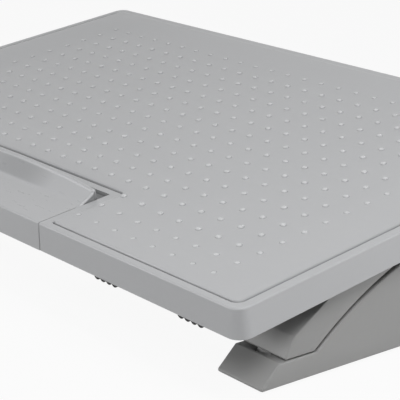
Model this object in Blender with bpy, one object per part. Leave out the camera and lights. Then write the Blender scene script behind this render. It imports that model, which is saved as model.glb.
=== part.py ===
"""Under-desk footrest with a foot pedal: a flat deck on two legs, hinged at the toes.

Metres, +Z up. The object stands on z = 0 with its width along X, its low front edge
towards -Y and its high rear edge towards +Y. The deck and what it carries are drawn in
the deck's own frame (u across, v towards the rear, w up from the top of the deck).
"""
import math

import bmesh
import bpy
from mathutils import Matrix, Vector

# Deck
DECK_WIDTH = 0.5568
DECK_DEPTH = 0.3592
DECK_CORNER = 0.0105
DECK_DRAFT = 0.0018
DECK_WALL_HEIGHT = 0.0196
DECK_SKIN = 0.003
DECK_WALL = 0.0028
DECK_EDGE = 0.0012
DECK_HEIGHT = 0.0914
REST_TILT = math.radians(9.65)
RIB_LEVEL = 0.011
RIB_THICKNESS = 0.002
SIDE_RIBS = 2
MIDDLE_RIBS = 2
REAR_RIBS = 3

# Raised tread field on the deck
FIELD_SIDE_BORDER = 0.0088
FIELD_END_BORDER = 0.0081
FIELD_STEP = 0.0008
FIELD_CORNER = 0.0055
FIELD_NOTCH_BORDER = 0.0059
FIELD_NOTCH_STRIP = 0.0066

# Pedal
PEDAL_WIDTH = 0.1666
PEDAL_SEAM = 0.0009
PEDAL_FLAT = 0.0355
PEDAL_RISE = 0.0123
PEDAL_RIDGE = 0.0116
PEDAL_RIDGE_END = 0.0069
PEDAL_BACK = 0.0032
PEDAL_SKIRT = 0.008
PEDAL_WALL = 0.0026
PEDAL_EDGE = 0.0012
PEDAL_CURVE = 1.3
PEDAL_SLOT = 0.0097
PEDAL_HINGE_INSET = 0.008
PEDAL_HINGE_DROP = 0.010
PEDAL_PIN_RADIUS = 0.0025
PEDAL_PIN_LENGTH = 0.016

# Legs
LEG_INSET = 0.0092
LEG_WIDTH = 0.0397
LEG_WALL = 0.003
LEG_EDGE = 0.0015
LEG_LIFT = 0.001
LEG_REAR = 0.1491
LEG_REAR_RAKE = 0.010
TOE_REACH = 0.0203
TOE_SLANT = 0.0159
TOE_TOP = 0.0165
TOE_CORNER = 0.0015
TOE_FOOT_RADIUS = 0.0015
LEG_HEEL_RADIUS = 0.004
LEG_CREST_RADIUS = 0.006

# Front pivot between deck and legs
PIVOT_Y = -0.1297
PIVOT_Z = 0.009
PIVOT_PIN_RADIUS = 0.0025
LUG_RADIUS = 0.005
LUG_WIDTH = 0.012
LUG_NECK = 0.006
LUG_LEAN = math.radians(30.0)
TILT_RANGE = math.radians(20.0)
PIVOT_BOSS_RADIUS = 0.005

# Deck arms, one over each leg
ARM_FOOT_REACH = 0.0008
ARM_FOOT_LENGTH = 0.0252
ARM_FOOT_GAP = 0.001
ARM_ARC_RADIUS = 0.2596
ARM_ARC_START = math.radians(40.3)
ARM_TOP_FRONT = 0.071
ARM_KNEE_BACK = 0.0072
ARM_KNEE_UP = 0.0134
ARM_KNEE_RADIUS = 0.005
ARM_TOE_RADIUS = 0.001
ARM_REAR_CUT = 0.018
ARM_WALL = 0.003
ARM_EDGE = 0.0008
ARM_LEG_GAP = 0.0026
DECK_LEG_GAP = 0.0013

# Brake that holds the deck's tilt
BRAKE_RADIUS = 0.130
BRAKE_ANGLE = math.radians(3.0)
BRAKE_HALF_SPAN = math.radians(2.4)
BRAKE_ARM_PLATE = 0.004
BRAKE_ARM_WIDTH = 0.010
BRAKE_HUB_RADIUS = 0.0065
SHOE_DEPTH = 0.008
BRAKE_WAY = 0.028
QUADRANT_PLATE = 0.006
QUADRANT_INSET = 0.009
QUADRANT_SCREW_LENGTH = 0.0075
PAD_THICKNESS = 0.0027
PAD_SEAT = 0.0027
QUADRANT_DEPTH = 0.010
QUADRANT_START = math.radians(-1.0)
QUADRANT_END = math.radians(23.6)
QUADRANT_SCREWS = (math.radians(5.0), math.radians(17.5))
SHAFT_RADIUS = 0.004
SHAFT_DROP = 0.0155
SHAFT_END_INSET = 0.0045
SADDLE_INSET = 0.0245
SADDLE_WIDTH = 0.010
SADDLE_HALF = 0.0135
SADDLE_SCREW = 0.009
CAP_HEIGHT = 0.0057

# Release linkage from pedal to brake
CRANK_RADIUS = 0.008
LEVER_RADIUS = 0.01745
LEVER_PLATE = 0.006
LINK_PLATE = 0.004
LINK_HALF_HEIGHT = 0.0028
EYE_RADIUS = 0.0036
LINK_PIN_RADIUS = 0.0015
SPRING_WIRE = 0.0012
SPRING_RADIUS = 0.004
SPRING_TURNS = 12
SPRING_PITCH = 0.0029
SPRING_LEAD = 0.006
SPRING_ARM = 0.0105
POST_WIDTH = 0.006
POST_DEPTH = 0.005

# Ribbed rubber blocks under the front wall
BUMPER_WIDTH = 0.0236
BUMPER_DEPTH = 0.012
BUMPER_RIBS = 4
BUMPER_TOP = 0.0112
BUMPER_DROP = 0.0012
BUMPER_SPACING = 0.0814
BUMPER_OVER_LEG = 0.0018

# Leg bottoms
PLATE_THICKNESS = 0.0025
PLATE_SCREWS = (-0.061, 0.124)
TUBE_Y = (0.049, 0.111)
TUBE_Z = 0.0165
TUBE_RADIUS = 0.008
TUBE_BORE = 0.0066
TUBE_DEPTH = 0.012
SOCKET_WALL = 0.003
FOOT_RADIUS = 0.0095
FOOT_THICKNESS = 0.0022
FOOT_Y = (-0.093, 0.097)

# Screws
SCREW_RADIUS = 0.0016
SCREW_HEAD_RADIUS = 0.0034
SCREW_HEAD = 0.0021
SCREW_LENGTH = 0.0095
SCREW_BOSS = 0.0045
ARM_SCREW_SPREAD = 0.0105
ARM_SCREW_BACK = 0.033

# Clearances and mesh fineness
GAP = 0.0003
PIN_GAP = 0.0003
OVERLAP = 0.0005
REACH = 0.02
ROUND_SIDES = 20
PIN_SIDES = 12
ARC_STEPS = 10
BEVEL_STEPS = 2
CORNER_STEPS = 4
RIB_STEPS = 6
PEDAL_STEPS = 6
PEDAL_COLUMNS = 12

# Finishes: colour, roughness, metallic
GREY_PLASTIC = ("grey_plastic", (0.43, 0.44, 0.46), 0.48, 0.0)
LEG_PLASTIC = ("leg_plastic", (0.36, 0.36, 0.35), 0.52, 0.0)
DARK_RUBBER = ("dark_rubber", (0.055, 0.055, 0.055), 0.80, 0.0)
STEEL = ("steel", (0.56, 0.57, 0.58), 0.32, 1.0)
BLACK_PLASTIC = ("black_plastic", (0.05, 0.05, 0.052), 0.6, 0.0)
SPRING_STEEL = ("spring_steel", (0.42, 0.42, 0.43), 0.30, 1.0)

# Places that follow from the sizes above
DECK_CENTRE_Y = -0.5 * (DECK_WALL_HEIGHT * math.sin(REST_TILT) + DECK_DRAFT * math.cos(REST_TILT))
PIVOT = Vector((0.0, PIVOT_Y, PIVOT_Z))
HALF_WIDTH = DECK_WIDTH / 2
HALF_DEPTH = DECK_DEPTH / 2
NOTCH_HALF = PEDAL_WIDTH / 2 + PEDAL_SEAM
PEDAL_DEPTH = PEDAL_FLAT + PEDAL_RISE + PEDAL_BACK
NOTCH_REAR = -HALF_DEPTH + PEDAL_DEPTH + PEDAL_SLOT
LEG_OUTER = HALF_WIDTH - LEG_INSET
LEG_INNER = LEG_OUTER - LEG_WIDTH
LEG_MIDDLE = LEG_OUTER - LEG_WIDTH / 2
SADDLE_U = LEG_INNER - SADDLE_INSET
BUMPER_U = (LEG_INNER + BUMPER_OVER_LEG - BUMPER_SPACING, LEG_INNER + BUMPER_OVER_LEG)
QUADRANT_U = LEG_OUTER - QUADRANT_INSET
QUADRANT_FACE_U = QUADRANT_U - QUADRANT_PLATE / 2
BRAKE_ARM_U = QUADRANT_FACE_U - 2 * GAP - BRAKE_ARM_PLATE / 2
FACE_RADIUS = BRAKE_RADIUS + PAD_SEAT + GAP + PAD_THICKNESS + GAP

PLANES = {
    "XY": Matrix.Identity(4),
    "YZ": Matrix(((0, 0, 1, 0), (1, 0, 0, 0), (0, 1, 0, 0), (0, 0, 0, 1))),
    "XZ": Matrix(((1, 0, 0, 0), (0, 0, -1, 0), (0, 1, 0, 0), (0, 0, 0, 1))),
}


# Outlines

def to_deck(y, z):
    """A point of the resting world plane, as (v, w) of the deck."""
    dy, dz = y - DECK_CENTRE_Y, z - DECK_HEIGHT
    cos, sin = math.cos(REST_TILT), math.sin(REST_TILT)
    return dy * cos + dz * sin, dz * cos - dy * sin


def to_world(v, w):
    """A point (v, w) of the deck, as (y, z) of the world at rest."""
    cos, sin = math.cos(REST_TILT), math.sin(REST_TILT)
    return DECK_CENTRE_Y + v * cos - w * sin, DECK_HEIGHT + v * sin + w * cos


def deck_line(y, w):
    """Height above the floor, at depth y, of the plane that lies at w in the deck's frame."""
    return DECK_HEIGHT + (y - DECK_CENTRE_Y) * math.tan(REST_TILT) + w / math.cos(REST_TILT)


def arc(centre, radius, start, end, steps):
    """Points on an arc, from one angle to the other."""
    return [(centre[0] + radius * math.cos(start + (end - start) * i / steps),
             centre[1] + radius * math.sin(start + (end - start) * i / steps))
            for i in range(steps + 1)]


def rounded(corners):
    """Replaces each corner (a, b, radius) of a closed outline by an arc of that radius."""
    points = []
    for index, (a, b, radius) in enumerate(corners):
        here = Vector((a, b))
        before = Vector(corners[index - 1][:2])
        after = Vector(corners[(index + 1) % len(corners)][:2])
        back, ahead = (before - here).normalized(), (after - here).normalized()
        if radius <= 0.0 or abs(back.cross(ahead)) < 1e-4:
            points.append((a, b))
            continue
        half = back.angle(ahead) / 2
        reach = min(radius / math.tan(half), 0.48 * (before - here).length, 0.48 * (after - here).length)
        centre = here + (back + ahead).normalized() * (reach / math.cos(half))
        start, end = here + back * reach - centre, here + ahead * reach - centre
        turn = start.angle_signed(end)
        for i in range(CORNER_STEPS + 1):
            spoke = start.copy()
            spoke.rotate(Matrix.Rotation(-turn * i / CORNER_STEPS, 2))
            points.append(tuple(centre + spoke))
    return points


def inset(corners, distance):
    """Moves every edge of an anticlockwise outline inwards and trims its corner radii."""
    lines = []
    for index, corner in enumerate(corners):
        start = Vector(corner[:2])
        along = (Vector(corners[(index + 1) % len(corners)][:2]) - start).normalized()
        lines.append((start + Vector((-along.y, along.x)) * distance, along))
    result = []
    for index, corner in enumerate(corners):
        (p, d), (q, e) = lines[index - 1], lines[index]
        cross = d.cross(e)
        point = q if abs(cross) < 1e-6 else p + d * ((q - p).cross(e) / cross)
        result.append((point.x, point.y, max(corner[2] - distance, 0.0)))
    return result


def rectangle(low, high, radius):
    """An upright rectangle with rounded corners, anticlockwise."""
    corners = [(low[0], low[1], radius), (high[0], low[1], radius),
               (high[0], high[1], radius), (low[0], high[1], radius)]
    return rounded(corners)


def eye_bar(start, end, end_radius, half_width):
    """A bar with a round eye at each end."""
    a, b = Vector(start), Vector(end)
    along = (b - a).normalized()
    heading = math.atan2(along.y, along.x)
    dip = math.asin(min(half_width / end_radius, 1.0))
    return (arc(b, end_radius, heading - math.pi + dip, heading + math.pi - dip, ARC_STEPS)
            + arc(a, end_radius, heading + dip, heading + 2 * math.pi - dip, ARC_STEPS))


# Meshes

def finished(bm, name):
    """Welds a bmesh, points its faces outwards and returns it as a smooth-shaded mesh."""
    bmesh.ops.remove_doubles(bm, verts=bm.verts, dist=1e-6)
    bmesh.ops.recalc_face_normals(bm, faces=bm.faces)
    mesh = bpy.data.meshes.new(name)
    bm.to_mesh(mesh)
    bm.free()
    mesh.shade_smooth()
    mesh.set_sharp_from_angle(angle=math.radians(32))
    return mesh


def from_curve(curve):
    """Turns a curve datablock into a closed mesh and removes the curve."""
    guide = bpy.data.objects.new("guide", curve)
    bpy.context.scene.collection.objects.link(guide)
    evaluated = guide.evaluated_get(bpy.context.evaluated_depsgraph_get())
    raw = bpy.data.meshes.new_from_object(evaluated)
    bm = bmesh.new()
    bm.from_mesh(raw)
    bpy.data.objects.remove(guide)
    bpy.data.meshes.remove(raw)
    return finished(bm, curve.name)


def slab(loops, low, high, plane="XY", edge=0.0):
    """Extrudes closed outlines from low to high along the plane's normal, edges rounded."""
    curve = bpy.data.curves.new("outline", "CURVE")
    curve.dimensions = "2D"
    curve.fill_mode = "BOTH"
    curve.extrude = (high - low) / 2 - edge
    curve.bevel_depth = edge
    curve.bevel_resolution = BEVEL_STEPS
    curve.offset = -edge
    for loop in loops:
        spline = curve.splines.new("POLY")
        spline.points.add(len(loop) - 1)
        spline.use_cyclic_u = True
        for point, (a, b) in zip(spline.points, loop):
            point.co = (a, b, 0.0, 1.0)
    mesh = from_curve(curve)
    mesh.transform(PLANES[plane] @ Matrix.Translation((0.0, 0.0, (low + high) / 2)))
    return mesh


def block(low, high):
    """A box between two corners."""
    low, high = Vector(low), Vector(high)
    size = high - low
    bm = bmesh.new()
    place = Matrix.Translation((low + high) / 2) @ Matrix.Diagonal((size.x, size.y, size.z, 1.0))
    bmesh.ops.create_cube(bm, size=1.0, matrix=place)
    return finished(bm, "block")


def rod(start, end, radius, sides=PIN_SIDES):
    """A round bar between two points."""
    start, end = Vector(start), Vector(end)
    along = end - start
    bm = bmesh.new()
    place = Matrix.Translation((start + end) / 2) @ along.to_track_quat("Z", "Y").to_matrix().to_4x4()
    bmesh.ops.create_cone(bm, cap_ends=True, segments=sides, radius1=radius, radius2=radius,
                          depth=along.length, matrix=place)
    return finished(bm, "rod")


def gathered(meshes):
    """Several separate closed bodies in one mesh."""
    bm = bmesh.new()
    for mesh in meshes:
        bm.from_mesh(mesh)
    return finished(bm, "gathered")


# Objects

def material(finish):
    """The material of a finish, made once."""
    name, colour, roughness, metallic = finish
    found = bpy.data.materials.get(name)
    if found:
        return found
    made = bpy.data.materials.new(name)
    made.use_nodes = True
    shader = made.node_tree.nodes["Principled BSDF"]
    shader.inputs["Base Color"].default_value = (*colour, 1.0)
    shader.inputs["Roughness"].default_value = roughness
    shader.inputs["Metallic"].default_value = metallic
    made.diffuse_color = (*colour, 1.0)
    return made


def collection(name):
    """A collection of the scene, made once."""
    found = bpy.data.collections.get(name)
    if not found:
        found = bpy.data.collections.new(name)
        bpy.context.scene.collection.children.link(found)
    return found


def axis_empty(name, place, parent=None, turn=0.0):
    """An empty that marks a frame or a joint's axis."""
    empty = bpy.data.objects.new(name, None)
    empty.empty_display_size = 0.02
    collection("footrest").objects.link(empty)
    empty.parent = parent
    empty.location = place
    empty.rotation_euler = (turn, 0.0, 0.0)
    return empty


def add_tool(name, mesh, frame):
    """A hidden object that shapes another one."""
    tool = bpy.data.objects.new(name, mesh)
    collection("cutters").objects.link(tool)
    tool.display_type = "WIRE"
    tool.hide_render = True
    place_in(tool, frame)
    return tool


def place_in(obj, frame):
    """Puts an object whose mesh is drawn in the deck's or the world's frame under its empty."""
    if frame is not None:
        obj.parent = frame
        if "drawn_at" in frame:
            obj.location = -Vector(frame["drawn_at"])


def piece(name, mesh, finish, frame=None, steps=()):
    """One sub-part: a mesh, then unions ("join") and cuts ("cut") in the given order."""
    obj = bpy.data.objects.new(name, mesh)
    mesh.name = name
    collection("footrest").objects.link(obj)
    mesh.materials.append(material(finish))
    place_in(obj, frame)
    for index, (kind, meshes) in enumerate(steps):
        tool = add_tool(f"{name}_{kind}_{index}", gathered(meshes), frame)
        modifier = obj.modifiers.new(f"{kind}_{index}", "BOOLEAN")
        modifier.operation = "UNION" if kind == "join" else "DIFFERENCE"
        modifier.object = tool
    return obj


def screw(name, head, direction, frame=None, length=SCREW_LENGTH):
    """A pan-head screw: its head sits above the point and its shank runs along the direction."""
    profile = [(0.0, SCREW_HEAD), (SCREW_HEAD_RADIUS * 0.7, SCREW_HEAD),
               (SCREW_HEAD_RADIUS, SCREW_HEAD * 0.45), (SCREW_HEAD_RADIUS, 0.0), (SCREW_RADIUS, 0.0),
               (SCREW_RADIUS, -length + SCREW_RADIUS), (0.0, -length)]
    bm = bmesh.new()
    verts = [bm.verts.new((radius, 0.0, height)) for radius, height in profile]
    edges = [bm.edges.new(pair) for pair in zip(verts, verts[1:])]
    bmesh.ops.spin(bm, geom=verts + edges, axis=(0, 0, 1), cent=(0, 0, 0), angle=2 * math.pi,
                   steps=PIN_SIDES, use_merge=True)
    mesh = finished(bm, name)
    turn = (-Vector(direction)).to_track_quat("Z", "Y").to_matrix().to_4x4()
    mesh.transform(Matrix.Translation(head) @ turn)
    return piece(name, mesh, STEEL, frame)


def both_sides(make, *details):
    """Makes a sub-part on the left and on the right."""
    for label, side in (("left", -1), ("right", 1)):
        make(label, side, *details)


def span(side, near, far):
    """The x range of something from near to far out on one side of the middle plane."""
    return (near, far) if side > 0 else (-far, -near)


# Deck

def drafted_plan():
    """The deck's solid outside: walls that lean in towards the top, and a rounded top edge."""
    plan = rectangle((-HALF_WIDTH, -HALF_DEPTH), (HALF_WIDTH, HALF_DEPTH), DECK_CORNER)
    mesh = slab([plan], -DECK_WALL_HEIGHT - DECK_EDGE, 0.0, edge=DECK_EDGE)
    for vertex in mesh.vertices:
        lean = DECK_DRAFT * (1 + vertex.co.z / DECK_WALL_HEIGHT)
        vertex.co.x -= math.copysign(lean, vertex.co.x)
        vertex.co.y -= math.copysign(lean, vertex.co.y)
    return mesh


def field_plate():
    """The raised tread field, with a low border round it and round the pedal's notch."""
    side, end = HALF_WIDTH - FIELD_SIDE_BORDER, HALF_DEPTH - FIELD_END_BORDER
    notch, rear = NOTCH_HALF + FIELD_NOTCH_BORDER, NOTCH_REAR + FIELD_NOTCH_STRIP
    field = [(notch, -end, 0.0), (side, -end, FIELD_CORNER), (side, end, FIELD_CORNER),
             (-side, end, FIELD_CORNER), (-side, -end, FIELD_CORNER), (-notch, -end, 0.0),
             (-notch, rear, 0.0), (notch, rear, 0.0)]
    return slab([rounded(field)], -OVERLAP, FIELD_STEP)


def cavity_outline():
    """The open underside of the deck: inside the walls and round the pedal's notch."""
    side, end = HALF_WIDTH - DECK_WALL, HALF_DEPTH - DECK_WALL
    notch, rear = NOTCH_HALF + DECK_WALL, NOTCH_REAR + DECK_WALL
    corner = DECK_CORNER - DECK_WALL
    return rounded([(notch, -end, 0.0), (side, -end, corner), (side, end, corner), (-side, end, corner),
                    (-side, -end, corner), (-notch, -end, 0.0), (-notch, rear, 0.0), (notch, rear, 0.0)])


def divided(low, high, ribs):
    """The free spans between evenly spaced ribs."""
    width = (high - low - ribs * RIB_THICKNESS) / (ribs + 1)
    return [(low + i * (width + RIB_THICKNESS), low + i * (width + RIB_THICKNESS) + width)
            for i in range(ribs + 1)]


def rib_pockets():
    """The pockets between the ribs under the deck's skin, each with rounded corners."""
    inside = DECK_WALL + RIB_THICKNESS
    side, end = HALF_WIDTH - inside, HALF_DEPTH - inside
    notch, rear = NOTCH_HALF + inside, NOTCH_REAR + inside
    outer_columns = divided(notch, side, SIDE_RIBS)
    columns = outer_columns + [(-b, -a) for a, b in outer_columns]
    middle = divided(-notch + RIB_THICKNESS, notch - RIB_THICKNESS, MIDDLE_RIBS)
    front_row = (-end, rear - RIB_THICKNESS)
    cells = [(column, front_row) for column in columns]
    for row in divided(rear, end, REAR_RIBS):
        cells += [(column, row) for column in columns + middle]
    return [slab([rectangle((u0, v0), (u1, v1), DECK_CORNER - inside)], -RIB_LEVEL - OVERLAP, -DECK_SKIN)
            for (u0, u1), (v0, v1) in cells]


def shaft_place():
    """Where the brake shaft runs, as (v, w) of the deck: above the brake shoe."""
    shoe_y = PIVOT_Y + BRAKE_RADIUS * math.cos(BRAKE_ANGLE)
    run = (shoe_y - DECK_CENTRE_Y - SHAFT_DROP * math.sin(REST_TILT)) / math.cos(REST_TILT)
    return run, -SHAFT_DROP


def arm_screw_places(side):
    """Where the screws run up through an arm's roof into the deck, as (u, v)."""
    front_v = arm_outline_deck()[0]
    return [(side * (LEG_MIDDLE + step * ARM_SCREW_SPREAD), front_v + ARM_SCREW_BACK) for step in (-1, 1)]


def make_deck(frame):
    """The deck: one moulding with a raised field, rim walls, ribs, bosses and shaft saddles."""
    v, w = shaft_place()
    saddles, bosses, holes = [], [], []
    for side in (-1, 1):
        low, high = span(side, SADDLE_U - SADDLE_WIDTH / 2, SADDLE_U + SADDLE_WIDTH / 2)
        saddles.append(block((low, v - SADDLE_HALF, w), (high, v + SADDLE_HALF, -DECK_SKIN + OVERLAP)))
        for step in (-1, 1):
            place = (side * SADDLE_U, v + step * SADDLE_SCREW)
            holes.append(rod((*place, w - OVERLAP), (*place, w + SCREW_LENGTH - CAP_HEIGHT + 2 * GAP),
                             SCREW_RADIUS + PIN_GAP))
        for place in arm_screw_places(side):
            bosses.append(rod((*place, -RIB_LEVEL + OVERLAP / 5), (*place, -DECK_SKIN + OVERLAP), SCREW_BOSS))
            holes.append(rod((*place, -RIB_LEVEL - OVERLAP), (*place, -RIB_LEVEL + screw_bite()),
                             SCREW_RADIUS + PIN_GAP))
    hinge_v, hinge_w = pedal_hinge()
    for side in (-1, 1):
        low, high = span(side, NOTCH_HALF - OVERLAP, NOTCH_HALF + PEDAL_PIN_LENGTH)
        holes.append(rod((low, hinge_v, hinge_w), (high, hinge_v, hinge_w), PEDAL_PIN_RADIUS + PIN_GAP))
    shaft_way = rod((-SADDLE_U - SADDLE_WIDTH, v, w), (SADDLE_U + SADDLE_WIDTH, v, w),
                    SHAFT_RADIUS + PIN_GAP, ROUND_SIDES)
    pin_bosses = [block((low, hinge_v - SCREW_BOSS, -DECK_WALL_HEIGHT + GAP),
                        (high, hinge_v + SCREW_BOSS, -DECK_SKIN + OVERLAP))
                  for low, high in (span(side, NOTCH_HALF + OVERLAP, NOTCH_HALF + PEDAL_PIN_LENGTH + DECK_WALL)
                                    for side in (-1, 1))]
    post_v = spring_end_v()
    post = block((-POST_WIDTH / 2, post_v, lever_hole_w() - POST_DEPTH / 2),
                 (POST_WIDTH / 2, post_v + POST_DEPTH, -DECK_SKIN + OVERLAP))
    post_hole = rod((0.0, post_v - OVERLAP, lever_hole_w()),
                    (0.0, post_v + POST_DEPTH + OVERLAP, lever_hole_w()), SPRING_WIRE)
    underside = block((-HALF_WIDTH - REACH, -HALF_DEPTH - REACH, -DECK_WALL_HEIGHT - REACH),
                      (HALF_WIDTH + REACH, HALF_DEPTH + REACH, -DECK_WALL_HEIGHT))
    notch = block((-NOTCH_HALF, -HALF_DEPTH - REACH, -DECK_WALL_HEIGHT - REACH),
                  (NOTCH_HALF, NOTCH_REAR, REACH))
    link_way = block((-LEVER_PLATE, NOTCH_REAR - OVERLAP, -DECK_WALL_HEIGHT - REACH),
                     (LEVER_PLATE + 2 * LINK_PLATE, NOTCH_REAR + DECK_WALL + OVERLAP, -RIB_LEVEL - GAP))
    piece("deck", drafted_plan(), GREY_PLASTIC, frame,
          [("join", [field_plate()]),
           ("cut", [underside]),
           ("cut", [slab([cavity_outline()], -DECK_WALL_HEIGHT - REACH, -RIB_LEVEL)]),
           ("cut", rib_pockets()),
           ("cut", [notch]),
           ("join", saddles + bosses + pin_bosses + [post]),
           ("cut", holes + [shaft_way, post_hole, link_way])])


def screw_bite():
    """How far a screw reaches past an arm's roof."""
    return SCREW_LENGTH - ARM_WALL + GAP


def make_bumpers(frame):
    """Ribbed rubber blocks held between the front wall and the ribs, under the edge."""
    rib = BUMPER_WIDTH / BUMPER_RIBS / 2
    front = -HALF_DEPTH + DECK_WALL + GAP
    for label, side in (("left", -1), ("right", 1)):
        for where, offset in zip(("inner", "outer"), BUMPER_U):
            centre = side * offset
            outline = [(centre + BUMPER_WIDTH / 2, -BUMPER_TOP), (centre - BUMPER_WIDTH / 2, -BUMPER_TOP)]
            for i in range(BUMPER_RIBS):
                middle = centre - BUMPER_WIDTH / 2 + (2 * i + 1) * rib
                outline += arc((middle, -DECK_WALL_HEIGHT - BUMPER_DROP), rib, math.pi, 2 * math.pi,
                               RIB_STEPS)[i > 0:]
            mesh = slab([outline], -front - BUMPER_DEPTH, -front, "XZ")
            piece(f"front_bumper_{label}_{where}", mesh, DARK_RUBBER, frame)


# Deck arms

def arm_foot():
    """The front and rear ends of an arm's flat foot, in the world at rest."""
    front = PIVOT_Y - ARM_FOOT_REACH
    z = TOE_TOP + ARM_FOOT_GAP
    return (front, z), (front + ARM_FOOT_LENGTH, z)


def arm_arc(grow=0.0):
    """Centre and radius of the arc on which arm and leg part."""
    heel = arm_foot()[1]
    centre = (heel[0] + ARM_ARC_RADIUS * math.sin(ARM_ARC_START),
              heel[1] - ARM_ARC_RADIUS * math.cos(ARM_ARC_START))
    return centre, ARM_ARC_RADIUS + grow


def arc_angle_at_line(centre, radius, w):
    """The angle at which the parting arc meets a plane of the deck, on its front side."""
    drop = (deck_line(centre[0], w) - centre[1]) * math.cos(REST_TILT)
    if drop >= radius:
        return math.pi / 2 + REST_TILT
    return math.pi / 2 + REST_TILT + math.acos(drop / radius)


def arm_outline(back=0.0):
    """An arm's side outline in the world at rest, anticlockwise, as corners with radii."""
    toe, heel = arm_foot()
    centre, radius = arm_arc()
    start = math.pi / 2 + ARM_ARC_START
    rear_v = shaft_place()[0] - ARM_REAR_CUT + REACH / 2
    rear_y = to_world(rear_v, -DECK_WALL_HEIGHT)[0]
    end = math.acos(max(-1.0, min(1.0, (rear_y - centre[0]) / radius)))
    curve = arc(centre, radius, start, end, ARC_STEPS)
    top = -RIB_LEVEL - GAP
    rear_top = to_world(to_deck(*curve[-1])[0], top)
    front_v = to_deck(toe[0], toe[1])[0] + ARM_TOP_FRONT
    front_top = to_world(front_v, top)
    corners = [(*toe, ARM_TOE_RADIUS)] + [(*point, 0.0) for point in curve]
    corners += [(*rear_top, 0.0), (*front_top, 0.0)]
    corners.append((toe[0] + ARM_KNEE_BACK, toe[1] + ARM_KNEE_UP, ARM_KNEE_RADIUS))
    return corners


def arm_outline_deck():
    """The deck coordinate v of an arm's front and rear top corners."""
    points = [to_deck(a, b) for a, b, _ in arm_outline()]
    return points[ARC_STEPS + 3][0], points[ARC_STEPS + 2][0]


def in_deck(points):
    """World points at rest, as deck points."""
    return [to_deck(point[0], point[1]) for point in points]


def make_arm(label, side, frame):
    """A hollow arm from the deck down to the toe, with a web that ends in the pivot lug."""
    outline = arm_outline()
    inner = inset(outline, ARM_WALL)
    toe_z = arm_foot()[0][1]
    below = 2 + ARC_STEPS
    hollow = [(inner[0][0], toe_z - REACH)]
    hollow += [(a + REACH, b - REACH) for a, b, _ in outline[1:below]]
    hollow += [(a, b) for a, b, _ in inner[below:] + inner[:1]]
    near, far = span(side, LEG_INNER, LEG_OUTER)
    web_low, web_high = LEG_MIDDLE - LUG_WIDTH / 2, LEG_MIDDLE + LUG_WIDTH / 2
    pockets = []
    for a, b in ((LEG_INNER + ARM_WALL, web_low), (web_high, LEG_OUTER - ARM_WALL)):
        low, high = span(side, a, b)
        pockets.append(slab([in_deck(hollow)], low, high, "YZ"))
    lug_low, lug_high = span(side, web_low, web_high)
    neck_top = toe_z + ARM_WALL
    lean = (neck_top - PIVOT_Z) * math.tan(LUG_LEAN)
    neck = [(PIVOT_Y + lean - LUG_NECK / 2, neck_top), (PIVOT_Y - LUG_NECK / 2, PIVOT_Z),
            (PIVOT_Y + LUG_NECK / 2, PIVOT_Z), (PIVOT_Y + lean + LUG_NECK / 2, neck_top)]
    pivot = to_deck(PIVOT_Y, PIVOT_Z)
    eye = rod((lug_low, *pivot), (lug_high, *pivot), LUG_RADIUS, ROUND_SIDES)
    bore = rod((lug_low - REACH, *pivot), (lug_high + REACH, *pivot), PIVOT_PIN_RADIUS + PIN_GAP, ROUND_SIDES)
    holes = [rod((u, v, -RIB_LEVEL - REACH / 2), (u, v, -RIB_LEVEL + OVERLAP), SCREW_RADIUS + PIN_GAP)
             for u, v in arm_screw_places(side)]
    relief = OVERLAP / 5
    neck_slab = slab([in_deck(neck)], lug_low + relief, lug_high - relief, "YZ")
    piece(f"deck_arm_{label}", slab([in_deck(rounded(outline))], near, far, "YZ", edge=ARM_EDGE),
          LEG_PLASTIC, frame,
          [("cut", pockets), ("join", [neck_slab]), ("join", [eye]), ("cut", [bore] + holes)])
    for index, (u, v) in enumerate(arm_screw_places(side)):
        screw(f"arm_screw_{label}_{index + 1}", (u, v, -RIB_LEVEL - GAP - ARM_WALL - GAP), (0, 0, 1), frame)


# Legs

def leg_outline():
    """A leg's side outline in the world, anticlockwise, as corners with radii."""
    front = PIVOT_Y - TOE_REACH
    centre, radius = arm_arc(-ARM_LEG_GAP)
    roof = -DECK_WALL_HEIGHT - DECK_LEG_GAP
    start = math.pi - math.asin(max(-1.0, min(1.0, (TOE_TOP - centre[1]) / radius)))
    end = arc_angle_at_line(centre, radius, roof)
    hill = arc(centre, radius, start, end, ARC_STEPS)
    rear_foot = (LEG_REAR, LEG_LIFT)
    rear_top_y = LEG_REAR + LEG_REAR_RAKE
    rear_top = (rear_top_y, deck_line(rear_top_y, roof))
    corners = [(front, LEG_LIFT, TOE_FOOT_RADIUS), (*rear_foot, LEG_HEEL_RADIUS), (*rear_top, LEG_CREST_RADIUS)]
    corners += [(*point, 0.0) for point in reversed(hill)]
    corners += [(front + TOE_SLANT, TOE_TOP, TOE_CORNER)]
    return corners


def leg_cavity():
    """The hollow of a leg, open at the bottom."""
    inner = inset(leg_outline(), LEG_WALL)
    first, second = inner[0], inner[1]
    slant = (inner[-1][0] - first[0]) / (inner[-1][1] - first[1])
    rake = (inner[2][0] - second[0]) / (inner[2][1] - second[1])
    bottom = -REACH
    front = (first[0] - slant * (first[1] - bottom), bottom, 0.0)
    rear = (second[0] - rake * (second[1] - bottom), bottom, 0.0)
    return [front, rear] + inner[2:]


def plate_ends():
    """How far a leg's bottom plate reaches to the front and to the rear."""
    cavity = leg_cavity()
    top = LEG_LIFT + GAP + PLATE_THICKNESS
    ends = []
    for low, high in ((cavity[0], cavity[-1]), (cavity[1], cavity[2])):
        ends.append(low[0] + (high[0] - low[0]) * (top - low[1]) / (high[1] - low[1]))
    return ends[0] + GAP, ends[1] - 2 * GAP


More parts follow.
